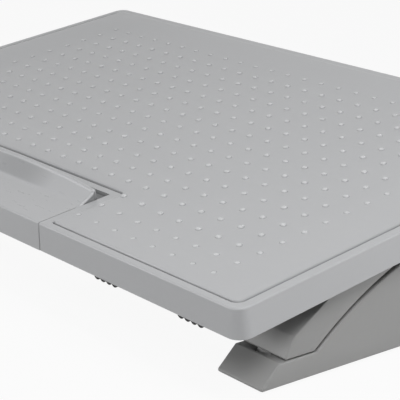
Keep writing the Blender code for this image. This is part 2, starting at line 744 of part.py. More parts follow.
def roof_height(y):
    """The height of a leg's inner roof above the floor, at depth y behind its toe."""
    centre, radius = arm_arc(-ARM_LEG_GAP - LEG_WALL)
    flat = deck_line(y, -DECK_WALL_HEIGHT - DECK_LEG_GAP) - LEG_WALL / math.cos(REST_TILT)
    reach = radius ** 2 - (y - centre[0]) ** 2
    hill = centre[1] + math.sqrt(max(reach, 0.0)) if y < centre[0] else flat
    return min(flat, hill)


def quadrant_screw_places():
    """Where the brake quadrant is screwed to the leg's wall, as (y, z)."""
    radius = FACE_RADIUS + QUADRANT_DEPTH / 2 + GAP
    return [(PIVOT_Y + radius * math.cos(a), PIVOT_Z + radius * math.sin(a)) for a in QUADRANT_SCREWS]


def make_leg(label, side):
    """A hollow leg shell with slots for the arm's lug and the brake arm."""
    low, high = span(side, LEG_INNER, LEG_OUTER)
    cavity_low, cavity_high = span(side, LEG_INNER + LEG_WALL, LEG_OUTER - LEG_WALL)
    cavity = slab([rounded(leg_cavity())], cavity_low, cavity_high, "YZ")
    lug_edge = LUG_WIDTH / 2 + OVERLAP
    lug_low, lug_high = span(side, LEG_MIDDLE - lug_edge, LEG_MIDDLE + lug_edge)
    rise = TOE_TOP - PIVOT_Z
    front_lean = (rise - LEG_WALL) * math.tan(LUG_LEAN - TILT_RANGE)
    lug_way = block((lug_low, PIVOT_Y + front_lean - LUG_NECK / 2 - 2 * GAP, PIVOT_Z),
                    (lug_high, PIVOT_Y + rise * math.tan(LUG_LEAN) + LUG_NECK / 2 + 4 * GAP,
                     PIVOT_Z + REACH))
    v, w = shaft_place()
    shaft_y = to_world(v, w)[0]
    brake_low, brake_high = span(side, BRAKE_ARM_U - BRAKE_ARM_PLATE / 2 - 2 * OVERLAP,
                                 QUADRANT_U + QUADRANT_PLATE / 2 + 2 * OVERLAP)
    hub_room = BRAKE_HUB_RADIUS + 3 * GAP
    brake_way = block((brake_low, shaft_y - BRAKE_WAY, roof_height(shaft_y) - REACH),
                      (brake_high, shaft_y + hub_room + OVERLAP, roof_height(shaft_y) + REACH))
    pin_edge = LUG_WIDTH / 2 + GAP
    bosses = []
    for a, b in ((LEG_INNER + LEG_WALL - OVERLAP, LEG_MIDDLE - pin_edge),
                 (LEG_MIDDLE + pin_edge, LEG_OUTER - LEG_WALL + OVERLAP)):
        near, far = span(side, a, b)
        bosses.append(rod((near, PIVOT_Y, PIVOT_Z), (far, PIVOT_Y, PIVOT_Z), PIVOT_BOSS_RADIUS, ROUND_SIDES))
    for y, z in quadrant_screw_places():
        near, far = span(side, QUADRANT_U + QUADRANT_PLATE / 2 + GAP, LEG_OUTER - LEG_WALL + OVERLAP)
        bosses.append(rod((near, y, z), (far, y, z), SCREW_BOSS))
    plate_top = LEG_LIFT + GAP + PLATE_THICKNESS
    for y in PLATE_SCREWS:
        bosses.append(rod((side * LEG_MIDDLE, y, plate_top + GAP),
                          (side * LEG_MIDDLE, y, roof_height(y) + OVERLAP), SCREW_BOSS))
    for y in TUBE_Y:
        near, far = span(side, LEG_INNER + LEG_WALL - OVERLAP, LEG_INNER + TUBE_DEPTH + SOCKET_WALL)
        bosses.append(rod((near, y, TUBE_Z), (far, y, TUBE_Z), TUBE_RADIUS + SOCKET_WALL, ROUND_SIDES))
    pin_near, pin_far = span(side, LEG_INNER - OVERLAP, LEG_OUTER - LEG_WALL / 2)
    holes = [rod((pin_near, PIVOT_Y, PIVOT_Z), (pin_far, PIVOT_Y, PIVOT_Z),
                 PIVOT_PIN_RADIUS + PIN_GAP, ROUND_SIDES)]
    for y, z in quadrant_screw_places():
        near, far = span(side, QUADRANT_U, LEG_OUTER - LEG_WALL / 2)
        holes.append(rod((near, y, z), (far, y, z), SCREW_RADIUS + PIN_GAP))
    for y in PLATE_SCREWS:
        holes.append(rod((side * LEG_MIDDLE, y, LEG_LIFT), (side * LEG_MIDDLE, y, plate_top + SCREW_LENGTH),
                         SCREW_RADIUS + PIN_GAP))
    for y in TUBE_Y:
        near, far = span(side, LEG_INNER - OVERLAP, LEG_INNER + TUBE_DEPTH)
        holes.append(rod((near, y, TUBE_Z), (far, y, TUBE_Z), TUBE_RADIUS + GAP, ROUND_SIDES))
    piece(f"leg_{label}", slab([rounded(leg_outline())], low, high, "YZ", edge=LEG_EDGE), LEG_PLASTIC, None,
          [("cut", [cavity]), ("cut", [lug_way, brake_way]), ("join", bosses), ("cut", holes)])
    near, far = span(side, LEG_INNER + GAP, LEG_OUTER - LEG_WALL / 2 - GAP)
    piece(f"pivot_pin_{label}", rod((near, PIVOT_Y, PIVOT_Z), (far, PIVOT_Y, PIVOT_Z), PIVOT_PIN_RADIUS,
                                    ROUND_SIDES), STEEL)


def make_leg_bottom(label, side):
    """A leg's bottom plate with its screws and its two rubber feet."""
    low, high = span(side, LEG_INNER + LEG_WALL + GAP, LEG_OUTER - LEG_WALL - GAP)
    front, rear = plate_ends()
    bottom = LEG_LIFT + GAP
    cuts = [rod((side * LEG_MIDDLE, y, bottom - REACH), (side * LEG_MIDDLE, y, FOOT_THICKNESS + GAP),
                FOOT_RADIUS + GAP, ROUND_SIDES) for y in FOOT_Y]
    seat = LEG_LIFT / 2 + SCREW_HEAD
    for y in PLATE_SCREWS:
        cuts.append(rod((side * LEG_MIDDLE, y, bottom - REACH), (side * LEG_MIDDLE, y, bottom + REACH),
                        SCREW_RADIUS + PIN_GAP))
    wells = [rod((side * LEG_MIDDLE, y, bottom - REACH), (side * LEG_MIDDLE, y, seat + GAP),
                 SCREW_HEAD_RADIUS + GAP) for y in PLATE_SCREWS]
    plan = rectangle((low, front), (high, rear), 0.0)
    piece(f"leg_plate_{label}", slab([plan], bottom, bottom + PLATE_THICKNESS), BLACK_PLASTIC, None,
          [("cut", cuts), ("cut", wells)])
    for where, y in zip(("front", "rear"), FOOT_Y):
        piece(f"rubber_foot_{label}_{where}", rod((side * LEG_MIDDLE, y, 0.0),
                                                  (side * LEG_MIDDLE, y, FOOT_THICKNESS), FOOT_RADIUS,
                                                  ROUND_SIDES), DARK_RUBBER)
    for index, y in enumerate(PLATE_SCREWS):
        screw(f"plate_screw_{label}_{index + 1}", (side * LEG_MIDDLE, y, seat), (0, 0, 1))


def make_cross_tubes():
    """The two steel tubes that tie the legs together."""
    end = LEG_INNER + TUBE_DEPTH - GAP
    for where, y in zip(("front", "rear"), TUBE_Y):
        bm = bmesh.new()
        corners = [(TUBE_RADIUS, end), (TUBE_RADIUS, -end), (TUBE_BORE, -end), (TUBE_BORE, end)]
        verts = [bm.verts.new((radius, 0.0, along)) for radius, along in corners]
        edges = [bm.edges.new((verts[i], verts[(i + 1) % 4])) for i in range(4)]
        bmesh.ops.spin(bm, geom=verts + edges, axis=(0, 0, 1), cent=(0, 0, 0), angle=2 * math.pi,
                       steps=ROUND_SIDES, use_merge=True)
        mesh = finished(bm, "tube")
        turn = Matrix.Rotation(math.pi / 2, 4, "Y")
        mesh.transform(Matrix.Translation((0.0, y, TUBE_Z)) @ turn)
        piece(f"cross_tube_{where}", mesh, STEEL)


def make_quadrant(label, side):
    """The smooth arc on which a brake pad bears, screwed to the leg's outer wall."""
    centre = (PIVOT_Y, PIVOT_Z)
    outline = (arc(centre, FACE_RADIUS + QUADRANT_DEPTH, QUADRANT_START, QUADRANT_END, ARC_STEPS)
               + arc(centre, FACE_RADIUS, QUADRANT_END, QUADRANT_START, ARC_STEPS))
    low, high = span(side, QUADRANT_FACE_U, QUADRANT_FACE_U + QUADRANT_PLATE)
    seat = QUADRANT_FACE_U + SCREW_HEAD + GAP
    well_low, well_high = span(side, QUADRANT_FACE_U - REACH, seat)
    holes = [rod((low - REACH, y, z), (high + REACH, y, z), SCREW_RADIUS + PIN_GAP)
             for y, z in quadrant_screw_places()]
    wells = [rod((well_low, y, z), (well_high, y, z), SCREW_HEAD_RADIUS + GAP)
             for y, z in quadrant_screw_places()]
    piece(f"brake_quadrant_{label}", slab([outline], low, high, "YZ"), STEEL, None,
          [("cut", holes), ("cut", wells)])
    for index, (y, z) in enumerate(quadrant_screw_places()):
        screw(f"quadrant_screw_{label}_{index + 1}", (side * (seat - GAP), y, z), (side, 0, 0),
              None, QUADRANT_SCREW_LENGTH)


# Brake on the deck

def make_brake_arm(label, side, frame):
    """A brake arm on the shaft, with its shoe and the pad on it."""
    v, w = shaft_place()
    hub = Vector(to_world(v, w))
    pivot = Vector((PIVOT_Y, PIVOT_Z))
    bottom, top = BRAKE_ANGLE - BRAKE_HALF_SPAN, BRAKE_ANGLE + BRAKE_HALF_SPAN
    seat = BRAKE_RADIUS + PAD_SEAT
    shoe = (arc(pivot, seat, bottom, top, CORNER_STEPS)
            + arc(pivot, seat - SHOE_DEPTH, top, bottom, CORNER_STEPS))
    low, high = span(side, BRAKE_ARM_U - BRAKE_ARM_PLATE / 2, BRAKE_ARM_U + BRAKE_ARM_PLATE / 2)
    middle = seat - SHOE_DEPTH / 2
    tip = pivot + middle * Vector((math.cos(BRAKE_ANGLE), math.sin(BRAKE_ANGLE)))
    outline = eye_bar(hub, tip, BRAKE_HUB_RADIUS, BRAKE_ARM_WIDTH / 2)
    shoe_low, shoe_high = span(side, BRAKE_ARM_U - BRAKE_ARM_PLATE / 2 + OVERLAP,
                               QUADRANT_FACE_U + QUADRANT_PLATE)
    bore = rod((low - REACH, v, w), (high + REACH, v, w), SHAFT_RADIUS + PIN_GAP, ROUND_SIDES)
    piece(f"brake_arm_{label}", slab([in_deck(outline)], low, high, "YZ"), STEEL, frame,
          [("join", [slab([in_deck(shoe)], shoe_low, shoe_high, "YZ")]), ("cut", [bore])])
    near, far = span(side, QUADRANT_FACE_U + OVERLAP, QUADRANT_FACE_U + QUADRANT_PLATE - OVERLAP)
    inner = seat + GAP
    pad = (arc(pivot, inner + PAD_THICKNESS, bottom, top, CORNER_STEPS)
           + arc(pivot, inner, top, bottom, CORNER_STEPS))
    piece(f"brake_pad_{label}", slab([in_deck(pad)], near, far, "YZ"), DARK_RUBBER, frame)


def make_shaft(frame):
    """The brake shaft across the deck and the release lever in its middle."""
    v, w = shaft_place()
    end = LEG_OUTER - SHAFT_END_INSET
    piece("brake_shaft", rod((-end, v, w), (end, v, w), SHAFT_RADIUS, ROUND_SIDES), STEEL, frame)
    low, high = -LEVER_PLATE / 2, LEVER_PLATE / 2
    eye_w = w - LEVER_RADIUS
    outline = eye_bar((v, w), (v, eye_w), EYE_RADIUS + LINK_PIN_RADIUS / 2, EYE_RADIUS)
    hub = rod((low - LEVER_PLATE / 2, v, w), (high + LEVER_PLATE / 2, v, w), BRAKE_HUB_RADIUS, ROUND_SIDES)
    bores = [rod((low - REACH, v, w), (high + REACH, v, w), SHAFT_RADIUS + PIN_GAP, ROUND_SIDES),
             rod((low - REACH, v, eye_w), (high + REACH, v, eye_w), LINK_PIN_RADIUS + PIN_GAP)]
    spring_hole = rod((0.0, v, lever_hole_w()), (0.0, v + REACH, lever_hole_w()), SPRING_WIRE)
    piece("release_lever", slab([outline], low, high, "YZ"), BLACK_PLASTIC, frame,
          [("join", [hub]), ("cut", bores), ("cut", [spring_hole])])


def lever_hole_w():
    """The height, in the deck's frame, at which the return spring pulls on the lever."""
    return shaft_place()[1] - SPRING_ARM


def make_shaft_caps(frame):
    """The caps that hold the brake shaft up in the deck's saddles."""
    v, w = shaft_place()
    way = rod((-SADDLE_U - SADDLE_WIDTH, v, w), (SADDLE_U + SADDLE_WIDTH, v, w),
              SHAFT_RADIUS + PIN_GAP, ROUND_SIDES)
    for label, side in (("left", -1), ("right", 1)):
        low, high = span(side, SADDLE_U - SADDLE_WIDTH / 2, SADDLE_U + SADDLE_WIDTH / 2)
        places = [(side * SADDLE_U, v + step * SADDLE_SCREW) for step in (-1, 1)]
        bottom = w - GAP - CAP_HEIGHT
        holes = [rod((*place, bottom - REACH), (*place, w + REACH), SCREW_RADIUS + PIN_GAP)
                 for place in places]
        piece(f"shaft_cap_{label}", block((low, v - SADDLE_HALF, bottom), (high, v + SADDLE_HALF, w - GAP)),
              BLACK_PLASTIC, frame, [("cut", holes), ("cut", [way.copy()])])
        for index, place in enumerate(places):
            screw(f"cap_screw_{label}_{index + 1}", (*place, bottom - GAP), (0, 0, 1), frame)


# Pedal and linkage

def pedal_hinge():
    """The pedal's hinge axis, as (v, w) of the deck."""
    return -HALF_DEPTH + PEDAL_HINGE_INSET, -PEDAL_HINGE_DROP


def ridge_at(u):
    """The ridge's height at a distance across: highest in the middle, lower at the ends."""
    share = abs(u) / (PEDAL_WIDTH / 2)
    return PEDAL_RIDGE - (PEDAL_RIDGE - PEDAL_RIDGE_END) * share ** 2


def pedal_outside(ridge, lowest=-DECK_WALL_HEIGHT):
    """The pedal's outer section, as (v, w), from its front foot over the ridge to its skirt."""
    front = -HALF_DEPTH
    crease = front + PEDAL_FLAT
    crest = crease + PEDAL_RISE
    lip = PEDAL_BACK / 2
    height = ridge - lip
    points = [(front, lowest)]
    points += arc((front + DECK_DRAFT + PEDAL_EDGE, -PEDAL_EDGE), PEDAL_EDGE, math.pi, math.pi / 2, 3)
    points += [(crease + PEDAL_RISE * i / PEDAL_STEPS, height * (i / PEDAL_STEPS) ** PEDAL_CURVE)
               for i in range(PEDAL_STEPS)]
    points += arc((crest + lip, ridge - lip), lip, math.pi, 0.0, CORNER_STEPS)
    points += [(crest + PEDAL_BACK, -PEDAL_SKIRT)]
    return points


def pedal_inside(ridge):
    """The pedal's inner section, as (v, w), from its rear skirt back to its front foot."""
    front = -HALF_DEPTH
    crease = front + PEDAL_FLAT
    height = ridge - PEDAL_BACK / 2
    rear = crease + PEDAL_RISE + PEDAL_BACK - PEDAL_WALL
    points = [(rear, -PEDAL_SKIRT)]
    for i in range(PEDAL_STEPS, -1, -1):
        share = i / PEDAL_STEPS
        slope = PEDAL_CURVE * height / PEDAL_RISE * share ** (PEDAL_CURVE - 1)
        drop = PEDAL_WALL * math.hypot(1, slope)
        points.append((crease + PEDAL_RISE * share, height * share ** PEDAL_CURVE - drop))
    points += [(front + DECK_DRAFT + PEDAL_WALL, -PEDAL_WALL), (front + PEDAL_WALL, -DECK_WALL_HEIGHT)]
    return points


def pedal_skin():
    """The pedal's skin: its section lofted across, under a ridge that is crowned."""
    bm = bmesh.new()
    rings = []
    for i in range(PEDAL_COLUMNS + 1):
        u = PEDAL_WIDTH * (i / PEDAL_COLUMNS - 0.5)
        section = pedal_outside(ridge_at(u)) + pedal_inside(ridge_at(u))
        rings.append([bm.verts.new((u, v, w)) for v, w in section])
    for ring, following in zip(rings, rings[1:]):
        for j in range(len(ring)):
            bm.faces.new((ring[j - 1], ring[j], following[j], following[j - 1]))
    bmesh.ops.triangulate(bm, faces=bm.faces)
    bm.faces.new(rings[0])
    bm.faces.new(reversed(rings[-1]))
    return finished(bm, "pedal_skin")


def make_pedal(frame):
    """The pedal: a curved skin with end walls, a crank below its hinge and pin holes."""
    hinge_v, hinge_w = pedal_hinge()
    lowest = -DECK_WALL_HEIGHT + OVERLAP
    inward = OVERLAP / 2
    rim = pedal_outside(PEDAL_RIDGE_END, lowest) + [(hinge_v + 2 * EYE_RADIUS, lowest)]
    wall = [(v, w) for v, w, _ in inset([(v, w, 0.0) for v, w in reversed(rim)], inward)]
    half = PEDAL_WIDTH / 2 - inward
    ends = [slab([wall], *span(side, half - PEDAL_WALL, half), "YZ") for side in (-1, 1)]
    crank_w = hinge_w - CRANK_RADIUS
    crank_top = -PEDAL_WALL + OVERLAP
    crank = [(hinge_v + 2 * EYE_RADIUS, crank_top), (hinge_v - EYE_RADIUS, crank_top)]
    crank += arc((hinge_v, crank_w), EYE_RADIUS, math.pi, 2 * math.pi, ARC_STEPS)
    holes = [rod((low, hinge_v, hinge_w), (high, hinge_v, hinge_w), PEDAL_PIN_RADIUS + PIN_GAP, ROUND_SIDES)
             for low, high in (span(side, PEDAL_WIDTH / 2 - REACH, PEDAL_WIDTH / 2 + REACH) for side in (-1, 1))]
    holes.append(rod((-LEVER_PLATE, hinge_v, crank_w), (LEVER_PLATE, hinge_v, crank_w),
                     LINK_PIN_RADIUS + PIN_GAP))
    piece("pedal", pedal_skin(), GREY_PLASTIC, frame,
          [("join", ends),
           ("join", [slab([crank], -LEVER_PLATE / 2, LEVER_PLATE / 2, "YZ")]),
           ("cut", holes)])


def make_pedal_pins(frame):
    """The two short pins on which the pedal turns, held in the deck."""
    hinge_v, hinge_w = pedal_hinge()
    start = PEDAL_WIDTH / 2 - PEDAL_WALL - 2 * OVERLAP
    for label, side in (("left", -1), ("right", 1)):
        low, high = span(side, start, NOTCH_HALF + PEDAL_PIN_LENGTH - GAP)
        piece(f"pedal_pin_{label}", rod((low, hinge_v, hinge_w), (high, hinge_v, hinge_w),
                                        PEDAL_PIN_RADIUS, ROUND_SIDES), STEEL, frame)


def link_ends():
    """The link's two pin centres, as (v, w) of the deck: at the crank and at the lever."""
    hinge_v, hinge_w = pedal_hinge()
    v, w = shaft_place()
    return (hinge_v, hinge_w - CRANK_RADIUS), (v, w - LEVER_RADIUS)


def make_link(frame):
    """The flat link that carries the pedal's push to the release lever, and its two pins."""
    front, rear = link_ends()
    low = LEVER_PLATE / 2 + GAP
    high = low + LINK_PLATE
    outline = eye_bar(front, rear, EYE_RADIUS, LINK_HALF_HEIGHT)
    holes = [rod((low - REACH / 2, *place), (high + REACH / 2, *place), LINK_PIN_RADIUS + PIN_GAP)
             for place in (front, rear)]
    piece("pull_link", slab([outline], low, high, "YZ"), STEEL, frame, [("cut", holes)])
    for where, place in (("front", front), ("rear", rear)):
        piece(f"link_pin_{where}", rod((-LEVER_PLATE / 2 - OVERLAP, *place), (high + OVERLAP, *place),
                                       LINK_PIN_RADIUS), STEEL, frame)


def spring_start_v():
    """Where the return spring's lead leaves the lever."""
    return shaft_place()[0] + EYE_RADIUS - SPRING_LEAD / 2


def spring_end_v():
    """The front face of the deck's spring post."""
    coil = SPRING_TURNS * SPRING_PITCH
    return spring_start_v() + coil + 1.5 * SPRING_LEAD


def spring_points():
    """The return spring's centre line: a lead, the turns and a lead, in deck coordinates."""
    per_turn = 8
    height = lever_hole_w()
    start = spring_start_v()
    points = [(0.0, start, height), (0.0, start + SPRING_LEAD - SPRING_WIRE, height)]
    count = SPRING_TURNS * per_turn
    for i in range(count + 1):
        turn = 2 * math.pi * i / per_turn
        ends = min(i, count - i) / (per_turn / 2)
        radius = SPRING_RADIUS * min(1.0, ends)
        points.append((radius * math.sin(turn), start + SPRING_LEAD + SPRING_PITCH * i / per_turn,
                       height + radius * math.cos(turn)))
    last = start + SPRING_LEAD + SPRING_TURNS * SPRING_PITCH
    points += [(0.0, last + SPRING_WIRE, height), (0.0, last + SPRING_LEAD, height)]
    return points


def make_spring(frame):
    """The wound return spring between the release lever and the deck's post."""
    points = spring_points()
    curve = bpy.data.curves.new("return_spring", "CURVE")
    curve.dimensions = "3D"
    curve.bevel_depth = SPRING_WIRE / 2
    curve.bevel_resolution = 1
    curve.use_fill_caps = True
    spline = curve.splines.new("POLY")
    spline.points.add(len(points) - 1)
    for point, place in zip(spline.points, points):
        point.co = (*place, 1.0)
    piece("return_spring", from_curve(curve), SPRING_STEEL, frame)
    apart = [(Vector(a) - Vector(b)).length for i, a in enumerate(points) for b in points[i + 5:]]
    print(f"return spring: least gap to itself {1000 * (min(apart) - SPRING_WIRE):.2f} mm")


def main():
    """Builds the whole footrest."""
    for obj in list(bpy.data.objects):
        bpy.data.objects.remove(obj)
    cos, sin = math.cos(REST_TILT), math.sin(REST_TILT)
    tilt_axis = axis_empty("deck_tilt_axis", PIVOT, None, REST_TILT)
    offset = Vector((0.0, DECK_CENTRE_Y, DECK_HEIGHT)) - PIVOT
    origin = (0.0, offset.y * cos + offset.z * sin, offset.z * cos - offset.y * sin)
    deck = axis_empty("deck_frame", origin, tilt_axis)
    pedal_axis = axis_empty("pedal_axis", (0.0, *pedal_hinge()), deck)
    pedal_axis["drawn_at"] = (0.0, *pedal_hinge())
    brake_axis = axis_empty("brake_axis", (0.0, *shaft_place()), deck)
    brake_axis["drawn_at"] = (0.0, *shaft_place())

    make_deck(deck)
    make_bumpers(deck)
    both_sides(make_arm, deck)
    both_sides(make_leg)
    both_sides(make_leg_bottom)
    make_cross_tubes()
    both_sides(make_quadrant)
    both_sides(make_brake_arm, brake_axis)
    make_shaft(brake_axis)
    make_shaft_caps(deck)
    make_pedal(pedal_axis)
    make_pedal_pins(deck)
    make_link(deck)
    make_spring(deck)


main()
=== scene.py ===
"""Looks of an under-desk footrest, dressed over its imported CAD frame.

Metres, +Z up, the frame's own axes. The deck and what it carries are drawn in the deck's
frame: u across, v towards the rear and w up from the top of the deck.
"""
import logging
import math
from dataclasses import dataclass
from enum import Enum
from typing import Callable, Sequence

import bmesh
import bpy
from mathutils import Matrix, Vector
from mathutils.geometry import delaunay_2d_cdt, tessellate_polygon


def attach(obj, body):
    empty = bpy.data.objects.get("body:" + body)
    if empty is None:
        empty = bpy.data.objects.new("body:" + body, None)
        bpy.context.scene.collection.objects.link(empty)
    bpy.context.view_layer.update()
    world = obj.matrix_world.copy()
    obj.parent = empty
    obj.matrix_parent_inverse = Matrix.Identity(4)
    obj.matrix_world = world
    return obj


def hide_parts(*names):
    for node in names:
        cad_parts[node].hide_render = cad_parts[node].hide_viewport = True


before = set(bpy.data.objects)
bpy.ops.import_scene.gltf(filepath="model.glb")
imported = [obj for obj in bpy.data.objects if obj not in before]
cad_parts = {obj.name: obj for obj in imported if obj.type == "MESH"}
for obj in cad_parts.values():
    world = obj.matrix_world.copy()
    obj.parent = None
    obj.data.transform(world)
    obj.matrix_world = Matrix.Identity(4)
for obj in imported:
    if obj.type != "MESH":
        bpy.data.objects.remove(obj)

Point = tuple[float, float]
Corner = tuple[float, float, float]
Place = tuple[float, float, float]
Colour = tuple[float, float, float]

log = logging.getLogger("footrest")

REST_TILT = math.radians(9.65)
DECK_PLACE = Matrix.Translation((0.0, -0.00253, 0.0914)) @ Matrix.Rotation(REST_TILT, 4, "X")
SMOOTH_ANGLE = math.radians(32.0)
FLAT_ANGLE = math.radians(0.3)
HAIR = 0.00005
WELD = 1e-6
LEAST_RADIUS = 0.0003

# A point attribute for painted shade: 1 where none is painted. At the lower threshold and below, the painted
# shade colour is full; at the upper one it is gone.
UNSHADED = "unshaded"
FULL_SHADE, NO_SHADE = 0.3, 0.8
DOT_SCALE = "dot_scale"
MIX_SHARE, MIX_FIRST, MIX_SECOND, MIX_RESULT = 0, 6, 7, 2
WHITE = (1.0, 1.0, 1.0, 1.0)


class Body(Enum):
    """The bodies of the frame."""

    BASE = "base"
    DECK = "deck"
    PEDAL = "pedal"
    LINK = "link"
    BRAKE = "brake"


class Slot(Enum):
    """The record's material slots."""

    GREY_PLASTIC = "grey_plastic"
    LEG_PLASTIC = "leg_plastic"
    DARK_RUBBER = "dark_rubber"
    STEEL = "steel"
    SPRING_STEEL = "spring_steel"
    BLACK_PLASTIC = "black_plastic"


# Shader graphs

class Value:
    """A shader socket that takes part in Python sums."""

    def __init__(self, graph: "Graph", socket: bpy.types.NodeSocket) -> None:
        """Wraps a socket.

        Args:
            graph: The graph that the socket is in.
            socket: An output socket.
        """
        self.graph = graph
        self.socket = socket

    def sum(self, operation: str, first: "Value | float", second: "Value | float") -> "Value":
        """Adds a Math node.

        Args:
            operation: The Math node's operation.
            first: Its first value.
            second: Its second value.

        Returns:
            The node's result.
        """
        return self.graph.add("ShaderNodeMath", {"operation": operation}, {0: first, 1: second})

    def __add__(self, other: "Value | float") -> "Value":
        """Self plus other."""
        return self.sum("ADD", self, other)

    def __radd__(self, other: "Value | float") -> "Value":
        """Other plus self."""
        return self.sum("ADD", other, self)

    def __sub__(self, other: "Value | float") -> "Value":
        """Self less other."""
        return self.sum("SUBTRACT", self, other)

    def __rsub__(self, other: "Value | float") -> "Value":
        """Other less self."""
        return self.sum("SUBTRACT", other, self)

    def __mul__(self, other: "Value | float") -> "Value":
        """Self times other."""
        return self.sum("MULTIPLY", self, other)

    def __rmul__(self, other: "Value | float") -> "Value":
        """Other times self."""
        return self.sum("MULTIPLY", other, self)

    def __abs__(self) -> "Value":
        """Self without its sign."""
        return self.sum("ABSOLUTE", self, 0.0)

    def at_most(self, other: "Value | float") -> "Value":
        """The smaller of the two."""
        return self.sum("MINIMUM", self, other)

    def at_least(self, other: "Value | float") -> "Value":
        """The larger of the two."""
        return self.sum("MAXIMUM", self, other)

    def held(self) -> "Value":
        """Self held between 0 and 1."""
        return self.at_most(1.0).at_least(0.0)


class Graph:
    """A node tree of a material, of the world or of geometry nodes."""

    def __init__(self, tree: bpy.types.NodeTree) -> None:
        """Takes an empty node tree.

        Args:
            tree: The tree to fill.
        """
        self.tree = tree

    def add(self, kind: str, settings: dict[str, object], inputs: dict[int | str, object],
            output: int | str = 0) -> Value:
        """Adds a node.

        Args:
            kind: The node's type.
            settings: Its own settings, set first.
            inputs: Values or links of its sockets.
            output: The output that is wanted.

        Returns:
            That output.
        """
        node = self.tree.nodes.new(kind)
        for name, value in settings.items():
            setattr(node, name, value)
        for key, value in inputs.items():
            if isinstance(value, Value):
                self.tree.links.new(value.socket, node.inputs[key])
            else:
                node.inputs[key].default_value = value
        return Value(self, node.outputs[output])

    def object_place(self) -> Value:
        """The place on the piece, in metres."""
        return self.add("ShaderNodeTexCoord", {}, {}, "Object")

    def noise(self, place: Value, scale: float, detail: float = 3.0,
              stretch: Place = (1.0, 1.0, 1.0)) -> Value:
        """Smooth noise from 0 to 1.

        Args:
            place: Where it is read.
            scale: Waves to a metre.
            detail: Octaves.
            stretch: How much finer it is along each axis.

        Returns:
            The noise.
        """
        spot = self.add("ShaderNodeMapping", {}, {"Vector": place, "Scale": stretch})
        return self.add("ShaderNodeTexNoise", {}, {"Vector": spot, "Scale": scale, "Detail": detail})

    def tint(self, share: Value, first: Value | Colour, second: Value | Colour) -> Value:
        """A colour between two.

        Args:
            share: How much of the second colour.
            first: The first colour.
            second: The second colour.

        Returns:
            The mixed colour.
        """
        ends = {key: colour if isinstance(colour, Value) else (*colour, 1.0)
                for key, colour in ((MIX_FIRST, first), (MIX_SECOND, second))}
        return self.add("ShaderNodeMix", {"data_type": "RGBA"}, {MIX_SHARE: share, **ends}, MIX_RESULT)

    def bump(self, height: Value, depth: float) -> Value:
        """A bumped normal.

        Args:
            height: The height map.
            depth: Metres between 0 and 1 of the map.

        Returns:
            The normal.
        """
        return self.add("ShaderNodeBump", {}, {"Strength": 1.0, "Distance": depth, "Height": height})


def new_material(name: str, surface: Callable[[Graph], Value]) -> bpy.types.Material:
    """Makes a material.

    Args:
        name: Its name.
        surface: Builds the shader and returns its output.

    Returns:
        The material.
    """
    made = bpy.data.materials.new(name)
    made.use_nodes = True
    made.node_tree.nodes.clear()
    graph = Graph(made.node_tree)
    end = graph.tree.nodes.new("ShaderNodeOutputMaterial")
    graph.tree.links.new(surface(graph).socket, end.inputs["Surface"])
    return made


@dataclass(frozen=True)
class Moulding:
    """A moulded plastic with a fine spark texture."""

    name: str
    pale: Colour
    deep: Colour
    roughness: float
    # The colour of painted shade, laid where the point attribute is low, and the distance across past which
    # a painted seam shadow is laid.
    dust_and_shade: Colour | None = None
    seam: float | None = None
    cloud_scale: float = 9.0
    mottle_scale: float = 260.0
    scuff_scale: float = 60.0
    scuff_stretch: Place = (1.0, 5.0, 1.0)
    grain_scale: float = 1500.0
    grain_depth: float = 0.00004
    seam_sharpness: float = 4000.0
    gloss: float = 0.38

    def surface(self, graph: Graph) -> Value:
        """Builds the shader.

        Args:
            graph: The material's graph.

        Returns:
            The shader.
        """
        place = graph.object_place()
        cloud = graph.noise(place, self.cloud_scale, 4.0)
        mottle = graph.noise(place, self.mottle_scale)
        scuff_and_shade = graph.noise(place, self.scuff_scale, 5.0, self.scuff_stretch)
        grain = graph.noise(place, self.grain_scale, 2.0)
        paint = graph.tint(cloud * 0.7 + mottle * 0.3, self.deep, self.pale)
        # Painted shade: the colour is mixed towards the painted shade colour where the point attribute is
        # low.
        if self.dust_and_shade:
            unshaded = graph.add("ShaderNodeAttribute", {"attribute_name": UNSHADED}, {}, "Fac")
            share = (unshaded - FULL_SHADE) * (1.0 / (NO_SHADE - FULL_SHADE))
            paint = graph.tint(share.held(), self.dust_and_shade, paint)
        # Painted shadow: past the seam's distance across, the pedal's ends are painted dark, where the gap
        # beside the deck lies in shade.
        if self.seam:
            across = graph.add("ShaderNodeSeparateXYZ", {}, {0: place}, "X")
            past = (abs(across) - self.seam) * self.seam_sharpness
            paint = graph.tint(past.held(), paint, SEAM_PAINTED_SHADOW)
        return graph.add("ShaderNodeBsdfPrincipled", {}, {
            "Base Color": paint,
            "Roughness": scuff_and_shade * 0.10 + (self.roughness - 0.05) + grain * 0.04,
            "Specular IOR Level": self.gloss,
            "Normal": graph.bump(grain + mottle * 0.4, self.grain_depth),
        })


@dataclass(frozen=True)
class Rubber:
    """Moulded rubber, matt, with a dusty bloom."""

    name: str
    pale: Colour
    deep: Colour
    roughness: float
    bloom_scale: float = 45.0
    grain_scale: float = 2200.0
    grain_depth: float = 0.00005
    gloss: float = 0.3

    def surface(self, graph: Graph) -> Value:
        """Builds the shader.

        Args:
            graph: The material's graph.

        Returns:
            The shader.
        """
        place = graph.object_place()
        bloom = graph.noise(place, self.bloom_scale, 5.0)
        grain = graph.noise(place, self.grain_scale, 2.0)
        return graph.add("ShaderNodeBsdfPrincipled", {}, {
            "Base Color": graph.tint(bloom, self.deep, self.pale),
            "Roughness": bloom * 0.12 + (self.roughness - 0.06),
            "Specular IOR Level": self.gloss,
            "Normal": graph.bump(grain, self.grain_depth),
        })


